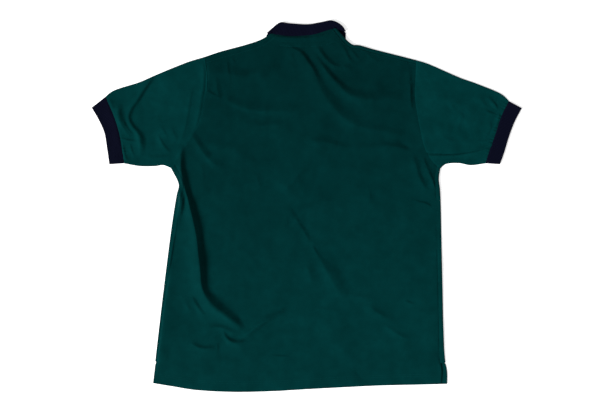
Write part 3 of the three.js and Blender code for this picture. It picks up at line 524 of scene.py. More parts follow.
def refine(bm):
    """Splits edges where the upper face bends sharply, then lifts the places to it."""
    bend = bend_map()
    for _ in range(ROUNDS):
        ends = np.array([[v.co.xy[:] for v in e.verts] for e in bm.edges]) / MM
        long = np.linalg.norm(ends[:, 0] - ends[:, 1], axis=1)
        i, j = np.round((ends.mean(1) - (MAP_X[0], MAP_Y[0])) / MAP_STEP).astype(int).T
        cut = long > np.clip(BEND / np.maximum(bend[j, i], 1e-6), FINEST, COARSEST) * SLACK
        edges = [e for e, yes in zip(bm.edges, cut) if yes]
        bmesh.ops.subdivide_edges(bm, edges=edges, cuts=1, use_grid_fill=True)
    xy = np.array([v.co.xy[:] for v in bm.verts]) / MM
    for vert, z in zip(bm.verts, top(xy)):
        vert.co.z = z * MM


EDGE_R, EDGE_ANGLE = 0.25, 60  # rounding of cut edges, and the degrees at which one counts
MERGED = 0.00002  # metres within which two places are one


def as_object(bm, name, material):
    mesh = bpy.data.meshes.new(name)
    bm.to_mesh(mesh)
    bm.free()
    mesh.materials.append(material)
    obj = bpy.data.objects.new(name, mesh)
    bpy.context.collection.objects.link(obj)
    return obj


def as_piece(bm, name, material, replaces):
    """A finished piece of the shirt, which stands in for the solids that it replaces."""
    obj = as_object(bm, name, material)
    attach(obj, "root")
    if replaces:
        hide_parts(*replaces)
    return obj


def inside_out(bm):
    """Says whether the faces look towards the spot on the floor under the piece's middle."""
    spot = sum((vert.co for vert in bm.verts), Vector()) / len(bm.verts)
    spot.z = 0
    return sum((face.calc_center_median() - spot).dot(face.normal) * face.calc_area()
               for face in bm.faces) < 0


def finish_cloth(bm, name, wall, material, replaces):
    """Joins the nets where they meet and gives the cloth its thickness."""
    bmesh.ops.remove_doubles(bm, verts=bm.verts, dist=MERGED)
    bmesh.ops.recalc_face_normals(bm, faces=bm.faces)
    if inside_out(bm):
        bmesh.ops.reverse_faces(bm, faces=bm.faces)
    for face in bm.faces:
        face.smooth = True
    obj = as_piece(bm, name, material, replaces)
    if wall:
        thick = obj.modifiers.new("wall", "SOLIDIFY")
        thick.thickness = wall * MM
        thick.offset = -1
        round_edge = obj.modifiers.new("rounded edge", "BEVEL")
        round_edge.width = EDGE_R * MM
        round_edge.segments = 2
        round_edge.limit_method = "ANGLE"
        round_edge.angle_limit = math.radians(EDGE_ANGLE)
        round_edge.use_clamp_overlap = False
        round_edge.harden_normals = True
    return obj


def cloth(name, nets, wall, material, replaces, lift=None):
    """A piece of cloth from nets of places that meet at their edges."""
    bm = bmesh.new()
    uv = bm.loops.layers.uv.new("UVMap")
    for net in nets:
        add_net(bm, uv, net)
    if lift:
        lift(bm)
    return finish_cloth(bm, name, wall, material, replaces)


class Tree:
    """A material's nodes, written as expressions."""

    def __init__(self, name, **fixed):
        self.material = bpy.data.materials.new(name)
        self.material.use_nodes = True
        self.nodes = self.material.node_tree.nodes
        self.links = self.material.node_tree.links
        self.surface = self.nodes["Principled BSDF"]
        for key, value in fixed.items():
            self.surface.inputs[key.replace("_", " ")].default_value = value

    def put(self, socket, value):
        if isinstance(value, Wire):
            self.links.new(value.socket, socket)
        else:
            socket.default_value = value

    def node(self, kind, settings=(), inputs=(), output=0):
        made = self.nodes.new(kind)
        for key, value in dict(settings).items():
            setattr(made, key, value)
        for key, value in dict(inputs).items():
            self.put(made.inputs[key], value)
        return Wire(self, made.outputs[output])

    def mix(self, factor, a, b):
        return self.node("ShaderNodeMix", {"data_type": "RGBA"}, {0: factor, 6: a, 7: b}, 2)

    def noise(self, place, scale, detail=2.0):
        return self.node("ShaderNodeTexNoise", (),
                         {"Vector": place, "Scale": scale, "Detail": detail})

    def set(self, **values):
        for key, value in values.items():
            self.put(self.surface.inputs[key.replace("_", " ")], value)


class Wire:
    """A socket that can stand in sums and products."""

    def __init__(self, tree, socket):
        self.tree, self.socket = tree, socket

    def maths(self, operation, a, b=0.0, clamp=False):
        settings = {"operation": operation, "use_clamp": clamp}
        return self.tree.node("ShaderNodeMath", settings, {0: a, 1: b})

    def __add__(self, other):
        return self.maths("ADD", self, other)

    def __sub__(self, other):
        return self.maths("SUBTRACT", self, other)

    def __rsub__(self, other):
        return self.maths("SUBTRACT", other, self)

    def __mul__(self, other):
        return self.maths("MULTIPLY", self, other)

    def __pow__(self, other):
        return self.maths("POWER", self, other)

    def sine(self):
        return self.maths("SINE", self)

    def size(self):
        return self.maths("ABSOLUTE", self)

    def within(self):
        """Held between 0 and 1."""
        return self.maths("ADD", self, 0.0, clamp=True)

    def part(self, k):
        return self.tree.node("ShaderNodeSeparateXYZ", (), {0: self}, k)

    __radd__, __rmul__ = __add__, __mul__


UV_OUTPUT, OBJECT_OUTPUT = 2, 3  # of a Texture Coordinate node
FUZZ, PILLING, CLOUDS, MOTTLING = 2600.0, 340.0, (14.0, 42.0), 95.0  # scales of the noises


def knit_tree(name, wale, course, relief, **fixed):
    """Knitted cloth: stitches in columns (wales) and rows (courses), along the cloth's own UVs."""
    tree = Tree(name, **fixed)
    uv = tree.node("ShaderNodeTexCoord", output=UV_OUTPUT)
    wales = (uv.part(0) * (math.pi / wale)).sine().size()
    courses = (uv.part(1) * (2 * math.pi / course) + wales * 2.2).sine()
    fuzz = tree.noise(uv, FUZZ)
    pill = tree.noise(uv, PILLING, 3.0)
    height = wales * 0.7 + courses * 0.2 + fuzz * 0.35 + pill * 0.9
    bump = tree.node("ShaderNodeBump", (), {"Height": height, "Strength": 0.6, "Distance": relief})
    tree.set(Normal=bump)
    return tree, wales, fuzz, pill


GREEN_LOW, GREEN_HIGH = (0.0003, 0.0208, 0.0208), (0.0009, 0.0354, 0.0359)
GREEN_SHADE_AND_MOTTLE, BLACK = (0.0, 0.012, 0.012), (0.0, 0.0, 0.0)
# Painted shade: the jersey is mixed towards black from here up to the neck, for light that falls
# off away from the hem.
FALLOFF_FOOT, FALLOFF_RATE, FALLOFF_CURVE = 0.36, 1.585, 1.5  # metres under the origin; 1 / metres; power


def tone(colour, level=1.0):
    return (*(level * part for part in colour), 1)


def green_knit(name, painted_falloff, level):
    """Green jersey at a level of brightness. The falloff share is how much darker the neck is
    painted than the hem: painted shade, for light that falls off towards the neck.
    """
    tree, wales, fuzz, pill = knit_tree(
        name, 0.0012, 0.0010, 0.00035, Metallic=0.0, Specular_IOR_Level=0.1,
        Specular_Tint=(0.0, 0.8, 0.85, 1), Sheen_Weight=0.05, Sheen_Roughness=0.5,
        Sheen_Tint=(0.01, 0.75, 0.78, 1))
    place = tree.node("ShaderNodeTexCoord", output=OBJECT_OUTPUT)
    clouds = tree.noise(place, CLOUDS[0], 4.0) + tree.noise(place, CLOUDS[1], 3.0)
    cloudy = (clouds - 0.6).within() * 1.25
    mottled = tree.noise(place, MOTTLING, 4.0)
    base = tree.mix(cloudy.within(), tone(GREEN_LOW, level), tone(GREEN_HIGH, level))
    # Painted shade: darker between the wales and where the fuzz and pilling sink, in the knit's
    # hollows; the mottling is a random tone of the cloth.
    knit_shade_and_mottling = (1.45 - fuzz * 0.35 - wales * 0.25 - pill * 0.5 - mottled * 0.6).within() * 0.7
    colour = tree.mix(knit_shade_and_mottling, base, tone(GREEN_SHADE_AND_MOTTLE, level))
    # Painted shade: darker towards the neck, mixed towards black.
    if painted_falloff:
        up = (((place.part(1) + FALLOFF_FOOT) * FALLOFF_RATE).within() ** FALLOFF_CURVE) * painted_falloff
        colour = tree.mix(up, colour, tone(BLACK))
    tree.set(Base_Color=colour, Roughness=0.84 + cloudy * 0.1)
    return tree.material


# The body's jersey carries the painted shade that darkens it towards the neck.
GREEN = green_knit("green_jersey", painted_falloff=0.395, level=1.11)
JERSEY = 1.2  # wall of the body and sleeves
BACK_COLUMNS, BACK_ROWS = 96, 132
CLOSER = [0, 0.36, 1], [0, 0.26, 1]  # the columns lie closer together round the deep fold
columns = np.interp(np.linspace(0, 1, BACK_COLUMNS), *CLOSER)
hem_left, hem_right = back_edge["left"][0], back_edge["right"][0]
bottom = hem_line(hem_left[0] + columns * (hem_right[0] - hem_left[0]))
bottom[0], bottom[-1] = hem_left, hem_right
rows = np.linspace(0, 1, BACK_ROWS)
back_net = coons(bottom, picked(back_top, columns), picked(back_edge["left"], rows),
                 picked(back_edge["right"], rows), columns)
back = cloth("back_panel", [lifted(back_net, level(0))], JERSEY, GREEN, ["back"],
             lift=refine)

# --- Front panel ---
# The same jersey, underneath. It folds up over both sides and shoulders to the seams on the back,
# and its free edge shows at the right vent. The neckline and the placket's slot are cut out of it.
NECK_SIDE = {"left": [(-77, 336), (-52, 299)], "right": [(65, 338), (40, 300)]}
SLOT = {"left": -21, "right": 9}
SLOT_FOOT, SLOT_HEAD, HEM_UNDER_SLOT = 136, 286, -392
ROUND = 8  # facets round a folded edge
RADIUS_ROUNDS = 5
TUCK, TUCK_DEEP = 2.5, 0.7  # how far an edge runs in under the next piece, and how far below it
WRAP_CELLS, SLOT_ROWS, EVENING = 9, 70, 8


def fold_radius(runs, high, low, wall):
    """Radius of the folded edge at the start of each run: half the height between the layers."""
    radius = np.full(len(runs.lines), float(wall))
    for _ in range(RADIUS_ROUNDS):
        xy = runs.at(radius)
        radius = (high(xy) - low(xy)) / 2
    return radius


def folded(runs, high, low, wall):
    """Places round a folded edge, from the lower layer to the upper: stations, places, x y z."""
    radius = fold_radius(runs, high, low, wall)
    p = runs.at(radius)
    out = runs.at(0) - p
    out /= np.linalg.norm(out, axis=1)[:, None]
    turn = np.linspace(-math.pi / 2, math.pi / 2, ROUND + 1)
    xy = p[:, None] + out[:, None] * (radius[:, None] * np.cos(turn))[..., None]
    net = np.dstack([xy, (low(p) + radius)[:, None] + radius[:, None] * np.sin(turn)])
    net[:, -1, 2] = high(p)
    return net, radius


def strip(runs, start, end, cells, high):
    """Places on the upper face from one distance in to another."""
    nets = []
    for u in np.linspace(0, 1, cells + 1)[1:]:
        xy = runs.at(start + (end - start) * u)
        nets.append(np.column_stack([xy, high(xy)]))
    return np.stack(nets, 1)


def tucked(xy, high):
    """The last row of an edge that runs in under the next piece."""
    return np.column_stack([xy, high(xy) - TUCK_DEEP])[:, None]


def wrap(runs, inset):
    """The front's cloth from the lower layer round a folded edge to the seam on the back."""
    net, radius = folded(runs, top, under, JERSEY)
    over = strip(runs, radius, inset - SEAM / 2, WRAP_CELLS, top)
    return np.concatenate([net, over, tucked(runs.at(inset + TUCK), top)], 1)


def evened(net, steps):
    """Evens out the inner places of a net, so that no cell of it folds over."""
    for _ in range(steps):
        net[1:-1, 1:-1] = (net[:-2, 1:-1] + net[2:, 1:-1] + net[1:-1, :-2] + net[1:-1, 2:]) / 4
    return net


def upright(x, start, end, n):
    """Places straight up from one y to another."""
    return np.column_stack([np.full(n, float(x)), np.linspace(start, end, n)])


front_nets, neck_front = [], {}
for s in SIDES:
    radius = fold_radius(side_runs[s], top, under, JERSEY)
    radius[:STATIONS["vent"]] = VENT_FRONT[s]
    sides = side_runs[s].at(radius)
    shoulder_radius = fold_radius(shoulder_runs[s], top, under, JERSEY)
    ends = (radius[-1], length_of(arm[s]) - shoulder_radius[0])
    armhole = at_lengths(arm[s], np.linspace(*ends, STATIONS["arm"] // 2 + 1))
    edge = np.vstack([sides, armhole[1:]])
    shoulder = shoulder_runs[s].at(shoulder_radius)
    neck_front[s] = spline([tuple(shoulder[-1]), *NECK_SIDE[s], (SLOT[s], SLOT_HEAD)],
                           STATIONS["arm"] // 2)
    foot = upright(SLOT[s], HEM_UNDER_SLOT, SLOT_FOOT, SLOT_ROWS + 1)
    slot_side = upright(SLOT[s], SLOT_FOOT, SLOT_HEAD, len(sides) - SLOT_ROWS)
    inner = np.vstack([foot, slot_side[1:], neck_front[s][::-1][1:]])
    bottom = hem_line(np.linspace(edge[0, 0], SLOT[s], len(shoulder)))
    bottom[0], bottom[-1] = edge[0], inner[0]
    front_nets.append(lifted(evened(coons(bottom, shoulder, edge, inner), EVENING), under))
    vent = STATIONS["vent"]
    front_nets.append(wrap(Runs(side_runs[s].lines[vent:]), inset_of(s)[vent:]))
    front_nets.append(wrap(shoulder_runs[s], SHOULDER_INSET[s]))
middle = np.stack([[(SLOT["left"], y), (SLOT["right"], y)] for y in foot[:, 1]]).astype(float)
front_nets.append(lifted(middle, under))
front = cloth("front_panel", front_nets, JERSEY, GREEN, ["front"])

# --- Sleeves ---
# Jersey tubes pressed flat, sewn into the armholes. Each is one piece, closed by a seam under the
# arm, which has rolled up on to the back of the right sleeve.
SLEEVE_UNDER = {
    "left": [(-292, 82), (-308, 88), (-326, 86), (-358, 86), (-393, 92)],
    "right": [(287, 81), (296, 89), (308, 92), (330, 92), (351, 88), (386, 92)],
}
SLEEVE_TOP = {
    "left": [(-222, 320), (-255, 310), (-324, 282), (-358, 267), (-418, 247), (-434, 234)],
    "right": [(235, 314), (261, 306), (330, 276), (364, 264), (420, 240), (436, 225)],
}
CUFF_SEAM = {
    "left": [(-393, 92), (-400, 142), (-410, 181), (-421, 209), (-434, 234)],
    "right": [(386, 92), (394, 117), (405, 147), (420, 192), (436, 225)],
}
UNDERARM = [(250, 113), (270, 113), (308, 112), (340, 115), (368, 120), (394, 128)]
# Folds that touch the sleeves alone, in the same form as those of the body.
SLEEVE_FOLDS = [
    # On the left sleeve.
    [(-326, 286, 0, 3, 10), (-337, 268, 3.8, 3.5, 12), (-348, 253, 5.4, 3.6, 13),
     (-357, 239, 5.9, 3.6, 13), (-365, 226, 5.8, 3.6, 13), (-374, 214, 5.4, 3.6, 12),
     (-380, 203, 4.6, 4, 11), (-383, 192, 3.6, 4, 9), (-381, 183, 3.3, 4, 8),
     (-374, 170, 3.6, 4.4, 8), (-366, 160, 4.6, 6, 8), (-359, 147, 5.6, 8, 9),
     (-357, 134, 4.6, 8.4, 10), (-357, 121, 2.4, 8, 10), (-359, 104, 0, 6, 9)],
    [(-399, 220, 0, 5, 8), (-404, 206, 3.4, 7, 9), (-404, 192, 5.6, 9, 8), (-399, 178, 5, 8, 7),
     (-391, 165, 2.6, 4, 6), (-383, 155, 1.5, 3, 6), (-376, 147, 0, 3, 5)],
    [(-395, 187, 0, 2.2, 4), (-389, 173, 1.6, 2.2, 4), (-380, 160, 1.6, 2.2, 4),
     (-370, 151, 0, 2.2, 4)],
    [(-402, 144, 0, 2, 4), (-389, 142, 1.5, 2, 4), (-376, 140, 1.5, 2, 4), (-362, 139, 0, 2, 4)],
    [(-397, 137, 0, 3, 4), (-394, 121, 1.8, 3, 5), (-390, 106, 1.1, 3, 5), (-382, 95, 0, 3, 5)],
    [(-380, 136, 0, 3, 5), (-377, 120, 1.3, 3, 5), (-370, 104, 0, 3, 5)],
    [(-323, 157, 0, 3.5, 7), (-314, 140, 1.8, 3.5, 8), (-305, 126, 1.8, 3.5, 8),
     (-293, 114, 0, 3.5, 7)],
    [(-316, 175, 0, 3, 7), (-307, 160, 0.9, 3, 7), (-297, 143, 0, 3, 7)],
    [(-294, 171, 0, 3, 7), (-285, 155, 0.9, 3, 7), (-276, 139, 0, 3, 7)],
    [(-346, 106, 0, 3, 6), (-324, 104, 0.9, 3, 6), (-303, 106, 0.9, 3, 6), (-281, 111, 0, 3, 6)],
    [(-428, 235, 0, 2.5, 5), (-420, 222, 1.1, 2.5, 5), (-415, 206, 0, 2.5, 5)],
    [(-243, 265, 0, 3.4, 7), (-249, 239, 1, 3.4, 8), (-254, 211, 1.1, 3.4, 8),
     (-258, 185, 1.1, 3.4, 8), (-266, 155, 0.9, 3.4, 7), (-277, 123, 0, 3.4, 7)],
    # On the right sleeve: a pucker at the cuff, and soft waves.
    [(388, 237, 0, 4, 8), (397, 225, 2, 4.4, 8), (405, 215, 3, 4.4, 7), (412, 203, 0, 4, 6)],
    [(417, 209, 0, 2.6, 5), (414, 196, 1.9, 3, 5), (410, 183, 2.1, 3, 5), (404, 168, 1.5, 3, 5),
     (397, 153, 0, 3, 5)],
    [(379, 209, 0, 3, 6), (391, 201, 1.6, 3.4, 6), (403, 198, 1.4, 3.4, 5), (413, 199, 0, 2.6, 4)],
    [(392, 185, 0, 3, 7), (394, 170, 1, 3.4, 8), (387, 155, 0.8, 3.4, 8), (377, 142, 0, 3.4, 8)],
    [(368, 235, 0, 4, 7), (379, 222, 1.2, 4.4, 8), (388, 207, 0, 4, 7)],
    [(366, 138, 0, 2.5, 6), (381, 139, 1.3, 2.5, 6), (396, 148, 0, 2.5, 6)],
    [(324, 209, 0, 5, 10), (332, 192, 1.4, 5, 11), (325, 173, 1.1, 5, 10), (318, 160, 0, 5, 10)],
    [(301, 235, 0, 4, 8), (312, 215, 0.9, 4, 8), (324, 200, 0, 4, 8)],
    [(286, 151, 0, 5, 9), (306, 140, 1, 5, 10), (334, 136, 0, 5, 9)],
]
FOLD_LINES += fold_lines(SLEEVE_FOLDS)
ACROSS, ALONG, LOW = 104, 92, 16  # cells over the top, along the edges and underneath
ARM_PLACES = 90
UNDERARM_GROOVE, CUFF_GROOVE = (1.5, 1.6), (1.0, 2.0)
cuff_line = {s: spline(CUFF_SEAM[s], 50) for s in SIDES}
SEAM_LINES.append((spline(UNDERARM, 50), *UNDERARM_GROOVE))
SEAM_LINES += [(cuff_line[s], *CUFF_GROOVE) for s in SIDES]
PUCKER_HIGH, PUCKER_OFF, PUCKER_WIDE, PUCKER_REACH = 0.5, 4, 6, 24
PUCKER_RATE, PUCKER_DRIFT, PUCKER_SWING = 1.9, 0.7, 2  # waves that are not all of one length
# A lighter copy of the jersey for the sleeves, without the painted falloff: painted sheen, for the
# knit catching more light across its grain.
GREEN_SLEEVE_SHEEN = green_knit("green_jersey_sleeve_painted_sheen", painted_falloff=0, level=1.13)


def puckered(xy):
    """The sleeve's upper face, gathered a little where the rib draws it in."""
    z = top(xy)
    for s in SIDES:
        near = near_line(cuff_line[s], PUCKER_REACH, xy)
        if near.any():
            far, _, at = beside(cuff_line[s], xy[near])
            waves = np.sin(at * PUCKER_RATE + np.sin(at * PUCKER_DRIFT) * PUCKER_SWING)
            z[near] += PUCKER_HIGH * waves * np.exp(-((far - PUCKER_OFF) / PUCKER_WIDE) ** 2)
    return z


def tube(net, high, wall, cells, low_cells):
    """A flattened tube across the rows of a net: its rings run over the top and back underneath."""
    start, end = Runs(net), Runs(net[:, ::-1])
    near, near_radius = folded(start, high, level(0), wall)
    far, far_radius = folded(end, high, level(0), wall)
    over = strip(start, near_radius, start.length - far_radius, cells, high)[:, :-1]
    back = []
    for u in np.linspace(0, 1, low_cells + 1)[1:]:
        xy = end.at(far_radius + (end.length - far_radius - near_radius) * u)
        back.append(np.column_stack([xy, np.zeros(len(xy))]))
    rings = np.concatenate([near, over, far[:, ::-1], np.stack(back, 1)], 1)
    back_step = rings[0] - rings[1]
    back_step /= np.linalg.norm(back_step[:, :2], axis=1)[:, None]
    inside = rings[0] + back_step * TUCK
    middle = rings[0, :, 2].max() / 2
    inside[:, 2] = rings[0, :, 2] - np.clip(rings[0, :, 2] - middle, -TUCK_DEEP, TUCK_DEEP)
    return np.concatenate([inside[None], rings])


for s in SIDES:
    armhole = moved(spline(ARMHOLE[s], ARM_PLACES), -INWARD[s] * SEAM / 2)
    cuff = moved(spline(CUFF_SEAM[s], ARM_PLACES), INWARD[s] * SEAM / 2)
    low_edge, high_edge = spline(SLEEVE_UNDER[s], ALONG), spline(SLEEVE_TOP[s], ALONG)
    low_edge[0], high_edge[0] = armhole[0], armhole[-1]
    low_edge[-1], high_edge[-1] = cuff[0], cuff[-1]
    net = coons(armhole, cuff, low_edge, high_edge)
    sleeve = cloth(f"sleeve_{s}_cloth", [tube(net, puckered, JERSEY, ACROSS, LOW)], JERSEY,
                   GREEN_SLEEVE_SHEEN, [f"sleeve_{s}"])

# --- Cuffs ---
# Bands of navy cotton rib, heavier than the jersey, knitted to size and sewn round the end of each
# sleeve, which they draw in a little.
CUFF_EDGE = {
    "left": [(-424, 90), (-429, 125), (-435, 159), (-448, 188), (-462, 212)],
    "right": [(415, 90), (424, 115), (433, 145), (446, 180), (462, 211)],
}
RIB = 1.8  # wall of the flat-knitted collar and cuffs
CUFF_LAID = 2 * RIB + 0.6  # two layers of it, pressed flat
CUFF_ROWS = 12
NAVY_LOW, NAVY_HIGH = (0.0016, 0.0020, 0.0070), (0.0036, 0.0042, 0.0135)
# Painted shade: the rib's colour goes down to this in the furrows between the ribs.
NAVY_FURROW_SHADE = (0.0006, 0.0008, 0.0028)  # in the furrows between the ribs


def navy_rib():
    tree, wales, fuzz, _ = knit_tree(
        "navy_rib", 0.0030, 0.0016, 0.0011, Metallic=0.0, Specular_IOR_Level=0.06,
        Specular_Tint=(0.4, 0.5, 0.9, 1), Sheen_Weight=0.03, Sheen_Roughness=0.5,
        Sheen_Tint=(0.25, 0.3, 0.9, 1))
    base = tree.mix(fuzz, tone(NAVY_LOW), tone(NAVY_HIGH))
    # Painted shade in the furrows between the ribs.
    colour = tree.mix((wales ** 0.6).within(), tone(NAVY_FURROW_SHADE), base)
    tree.set(Base_Color=colour, Roughness=0.9)
    return tree.material


NAVY = navy_rib()


def cuff_top(xy):
    return np.maximum(top(xy), CUFF_LAID)


for s in SIDES:
    start = moved(spline(CUFF_SEAM[s], ARM_PLACES), -INWARD[s] * SEAM / 2)
    end = spline(CUFF_EDGE[s], ARM_PLACES)
    share = np.linspace(0, 1, CUFF_ROWS + 1)[:, None, None]
    net = start[None] * (1 - share) + end[None] * share
    band = cloth(f"cuff_{s}_rib", [tube(net, cuff_top, RIB, ACROSS, LOW)], RIB, NAVY,
                 [f"cuff_{s}"])

# --- Collar ---
# Knitted in one piece of navy rib. The stand shows above the back neckline; it folds over at the
# top, and the leaf lies underneath, with its two points to the front.
LEAF_INNER = {
    "left": [(-8, 293), (-30, 301), (-48, 314), (-57, 332), (-52, 342)],
    "right": [(-4, 293), (18, 301), (37, 314), (46, 332), (42, 344)],
}
LEAF_INNER_TOP = [(-52, 342), (-30, 349), (24, 350), (42, 344)]
STAND_END = {"left": (-77.5, 372.4), "right": (71.5, 378)}
LEAF_FRONT, LEAF_BACK, LEAF_CELLS = 40, 96, 24
END_CELLS, STAND_CELLS, LOW_STAND_CELLS, BETWEEN_PARTS = 4, 16, 4, 8


def whole(front, back):
    """The leaf's edge from the left point round behind the neck to the right point."""
    left, right = (spline(front[s], LEAF_FRONT) for s in SIDES)
    return np.vstack([left, spline(back, LEAF_BACK)[1:-1], right[::-1]])


def between(a, b):
    """Straight runs from each place of a to the same place of b."""
    share = np.linspace(0, 1, BETWEEN_PARTS + 1)[None, :, None]
    return Runs(a[:, None] * (1 - share) + b[:, None] * share)


outer, inner = whole(LEAF_OUTER, LEAF_TOP), whole(LEAF_INNER, LEAF_INNER_TOP)
neck_seam = moved(spline(NECK_BACK, LEAF_BACK - 2 * END_CELLS), SEAM / 2)
left_end = np.linspace(STAND_END["left"], neck_seam[0], END_CELLS + 1)[:-1]
right_end = np.linspace(neck_seam[-1], STAND_END["right"], END_CELLS + 1)[1:]
stand_seam = np.vstack([left_end, neck_seam, right_end])
stand = between(outer[LEAF_FRONT:LEAF_FRONT + LEAF_BACK + 1], stand_seam)
stand_net, stand_radius = folded(stand, top, level(0), RIB)
inward = stand_seam + (stand_seam - stand.at(0)) / stand.length[:, None] * TUCK
stand_net = np.concatenate([stand_net, strip(stand, stand_radius, stand.length, STAND_CELLS, top),
                            tucked(inward, top)], 1)
collar_nets = [stand_net]
starts = inner.copy()
for s in SIDES:
    neck = moved(neck_front[s], -INWARD[s] * SEAM)[::-1]
    fold = inner[:LEAF_FRONT + 1] if s == "left" else inner[::-1][:LEAF_FRONT + 1]
    neck[0, 0] = fold[0, 0]
    low_stand = between(fold, even(neck, LEAF_FRONT))
    net, radius = folded(low_stand, level(CUFF_LAID), level(0), RIB)
    over = strip(low_stand, radius, low_stand.length, LOW_STAND_CELLS, level(CUFF_LAID))
    collar_nets.append(np.concatenate([net, over], 1))
    places = low_stand.at(radius)
    if s == "left":
        starts[:LEAF_FRONT + 1] = places
    else:
        starts[-LEAF_FRONT - 1:] = places[::-1]
stops = outer.copy()
stops[LEAF_FRONT:LEAF_FRONT + LEAF_BACK + 1] = stand.at(stand_radius)
share = np.linspace(0, 1, LEAF_CELLS + 1)[None, :, None]
leaf = starts[:, None] * (1 - share) + stops[:, None] * share
collar_nets.append(lifted(leaf, level(0)))
collar = cloth("collar_rib", [net.transpose(1, 0, 2) for net in collar_nets], RIB, NAVY,
               ["collar"])

# --- Placket ---
# Two doubled strips of the body's jersey, one over the other, sewn into the slot of the front and
# pressed to soft edges. The one that faces down has the buttonholes.
CENTRE_X = -6
STRIP_WIDE, STRIP_LONG, STRIP_WALL, STRIP_REST, STRIP_GAP = 29, 149, 1.4, 2.5, 0.3
STRIP_MIDDLE, STRIP_EDGE = (SLOT_FOOT + SLOT_HEAD) / 2, 0.5
for k, node in enumerate(("placket_over", "placket_under")):
    bm = bmesh.new()
    uv = bm.loops.layers.uv.new("UVMap")
    bmesh.ops.create_cube(bm, size=1)
    bmesh.ops.scale(bm, verts=bm.verts, vec=(STRIP_WIDE * MM, STRIP_LONG * MM, STRIP_WALL * MM))
    z = STRIP_REST + STRIP_WALL / 2 + k * (STRIP_WALL + STRIP_GAP)
    bmesh.ops.translate(bm, verts=bm.verts, vec=(CENTRE_X * MM, STRIP_MIDDLE * MM, z * MM))
    bmesh.ops.bevel(bm, geom=bm.edges[:], offset=STRIP_EDGE * MM, segments=3, profile=0.5,
                    affect="EDGES", material=-1)
    for face in bm.faces:
        for loop in face.loops:
            loop[uv].uv = loop.vert.co.xy
    placket = finish_cloth(bm, f"{node}_strip", 0, GREEN, [node])

# --- Buttons ---
# Three navy plastic buttons, moulded with a raised rim round a dish with four holes. They lie
# between the placket and whatever the shirt rests on.
DISH_R, HOLE_R, HOLE_OFF = 4.2, 0.9, 1.35
RIM = [(4.2, 0.55), (4.6, 0.12), (5.0, 0.0), (5.45, 0.15), (5.8, 0.6), (5.8, 1.6), (5.45, 2.05),
       (5.0, 2.2), (4.6, 2.08), (4.2, 1.65)]  # distance from the middle, and height
RIM_STEPS, HOLE_STEPS = 64, 24
FIRST_BUTTON, BUTTON_PITCH, BUTTON_COUNT = 14, 55, 3


def button_plastic():
    tree = Tree("button_plastic", Metallic=0.0, Roughness=0.32, IOR=1.5, Coat_Weight=0.2)
    swirl = tree.noise(tree.node("ShaderNodeTexCoord", output=OBJECT_OUTPUT), 260.0, 3.0)
    tree.set(Base_Color=tree.mix(swirl, tone((0.008, 0.010, 0.028)), tone((0.013, 0.016, 0.040))))
    return tree.material


PLASTIC = button_plastic()
button_places = [(CENTRE_X, SLOT_HEAD - FIRST_BUTTON - k * BUTTON_PITCH)
                 for k in range(BUTTON_COUNT)]
hole_places = [(i * HOLE_OFF, j * HOLE_OFF) for i in (-1, 1) for j in (-1, 1)]
for k, (x, y) in enumerate(button_places):
    bm = bmesh.new()
    low_face, high_face = RIM[0][1] * MM, RIM[-1][1] * MM
    bmesh.ops.create_circle(bm, segments=RIM_STEPS, radius=DISH_R * MM)
    for i, j in hole_places:
        middle = Matrix.Translation((i * MM, j * MM, 0))
        bmesh.ops.create_circle(bm, segments=HOLE_STEPS, radius=HOLE_R * MM, matrix=middle)
    bmesh.ops.triangle_fill(bm, edges=bm.edges[:], use_beauty=True)
    dish = bmesh.ops.extrude_face_region(bm, geom=bm.faces[:])
    raised = [g for g in dish["geom"] if isinstance(g, bmesh.types.BMVert)]
    bmesh.ops.translate(bm, verts=raised, vec=(0, 0, high_face - low_face))
    bmesh.ops.translate(bm, verts=bm.verts, vec=(0, 0, low_face))
    # The dish's own outer wall goes: the rim takes its place.
    walls = [face for face in bm.faces if abs(face.normal.z) < 0.5
             and face.calc_center_median().xy.length > 0.95 * DISH_R * MM]
    bmesh.ops.delete(bm, geom=walls, context="FACES_ONLY")
    profile = [bm.verts.new((0, r * MM, z * MM)) for r, z in RIM]
    edges = [bm.edges.new(pair) for pair in zip(profile, profile[1:])]
    bmesh.ops.spin(bm, geom=profile + edges, axis=(0, 0, 1), cent=(0, 0, 0), steps=RIM_STEPS,
                   angle=2 * math.pi)
    bmesh.ops.remove_doubles(bm, verts=bm.verts, dist=MERGED)
    bmesh.ops.recalc_face_normals(bm, faces=bm.faces)
    bmesh.ops.translate(bm, verts=bm.verts, vec=(x * MM, y * MM, 0))
    for face in bm.faces:
        face.smooth = abs(face.normal.z) < 0.99
    as_piece(bm, f"button_{k + 1}_disc", PLASTIC, [f"button_{k + 1}"])

# --- Sewing ---
# Rows of lockstitch in thread of the cloth's own colour: round the hem and vents, along the
# shoulder seams, under the neck facing, and round the placket with its buttonholes.
THREAD_TREE = Tree("thread", Roughness=0.7, Specular_IOR_Level=0.15,
                   Specular_Tint=(0.1, 0.9, 0.9, 1))
THREAD_TREE.set(Base_Color=(0.001, 0.036, 0.037, 1))
THREAD = THREAD_TREE.material
STITCH, STITCH_PITCH, THREAD_R, THREAD_FLAT, THREAD_PROUD = 2.6, 3.4, 0.28, 0.8, 0.08
STEPS_A_STITCH = 4  # places read along each, to set it square to the row


def add_stitch(bm, place, way, long=STITCH):
    """One stitch that lies along a way: a thin grain of thread, flatter than it is wide."""
    turn = Vector(way).to_track_quat("X", "Z").to_matrix().to_4x4()
    size = Matrix.Diagonal((long / 2 * MM, THREAD_R * MM, THREAD_R * THREAD_FLAT * MM, 1))
    place = Matrix.Translation(Vector(place) * MM)
    bmesh.ops.create_icosphere(bm, subdivisions=2, radius=1, matrix=place @ turn @ size)


def finish_thread(bm, name):
    for face in bm.faces:
        face.smooth = True
    as_piece(bm, name, THREAD, ())


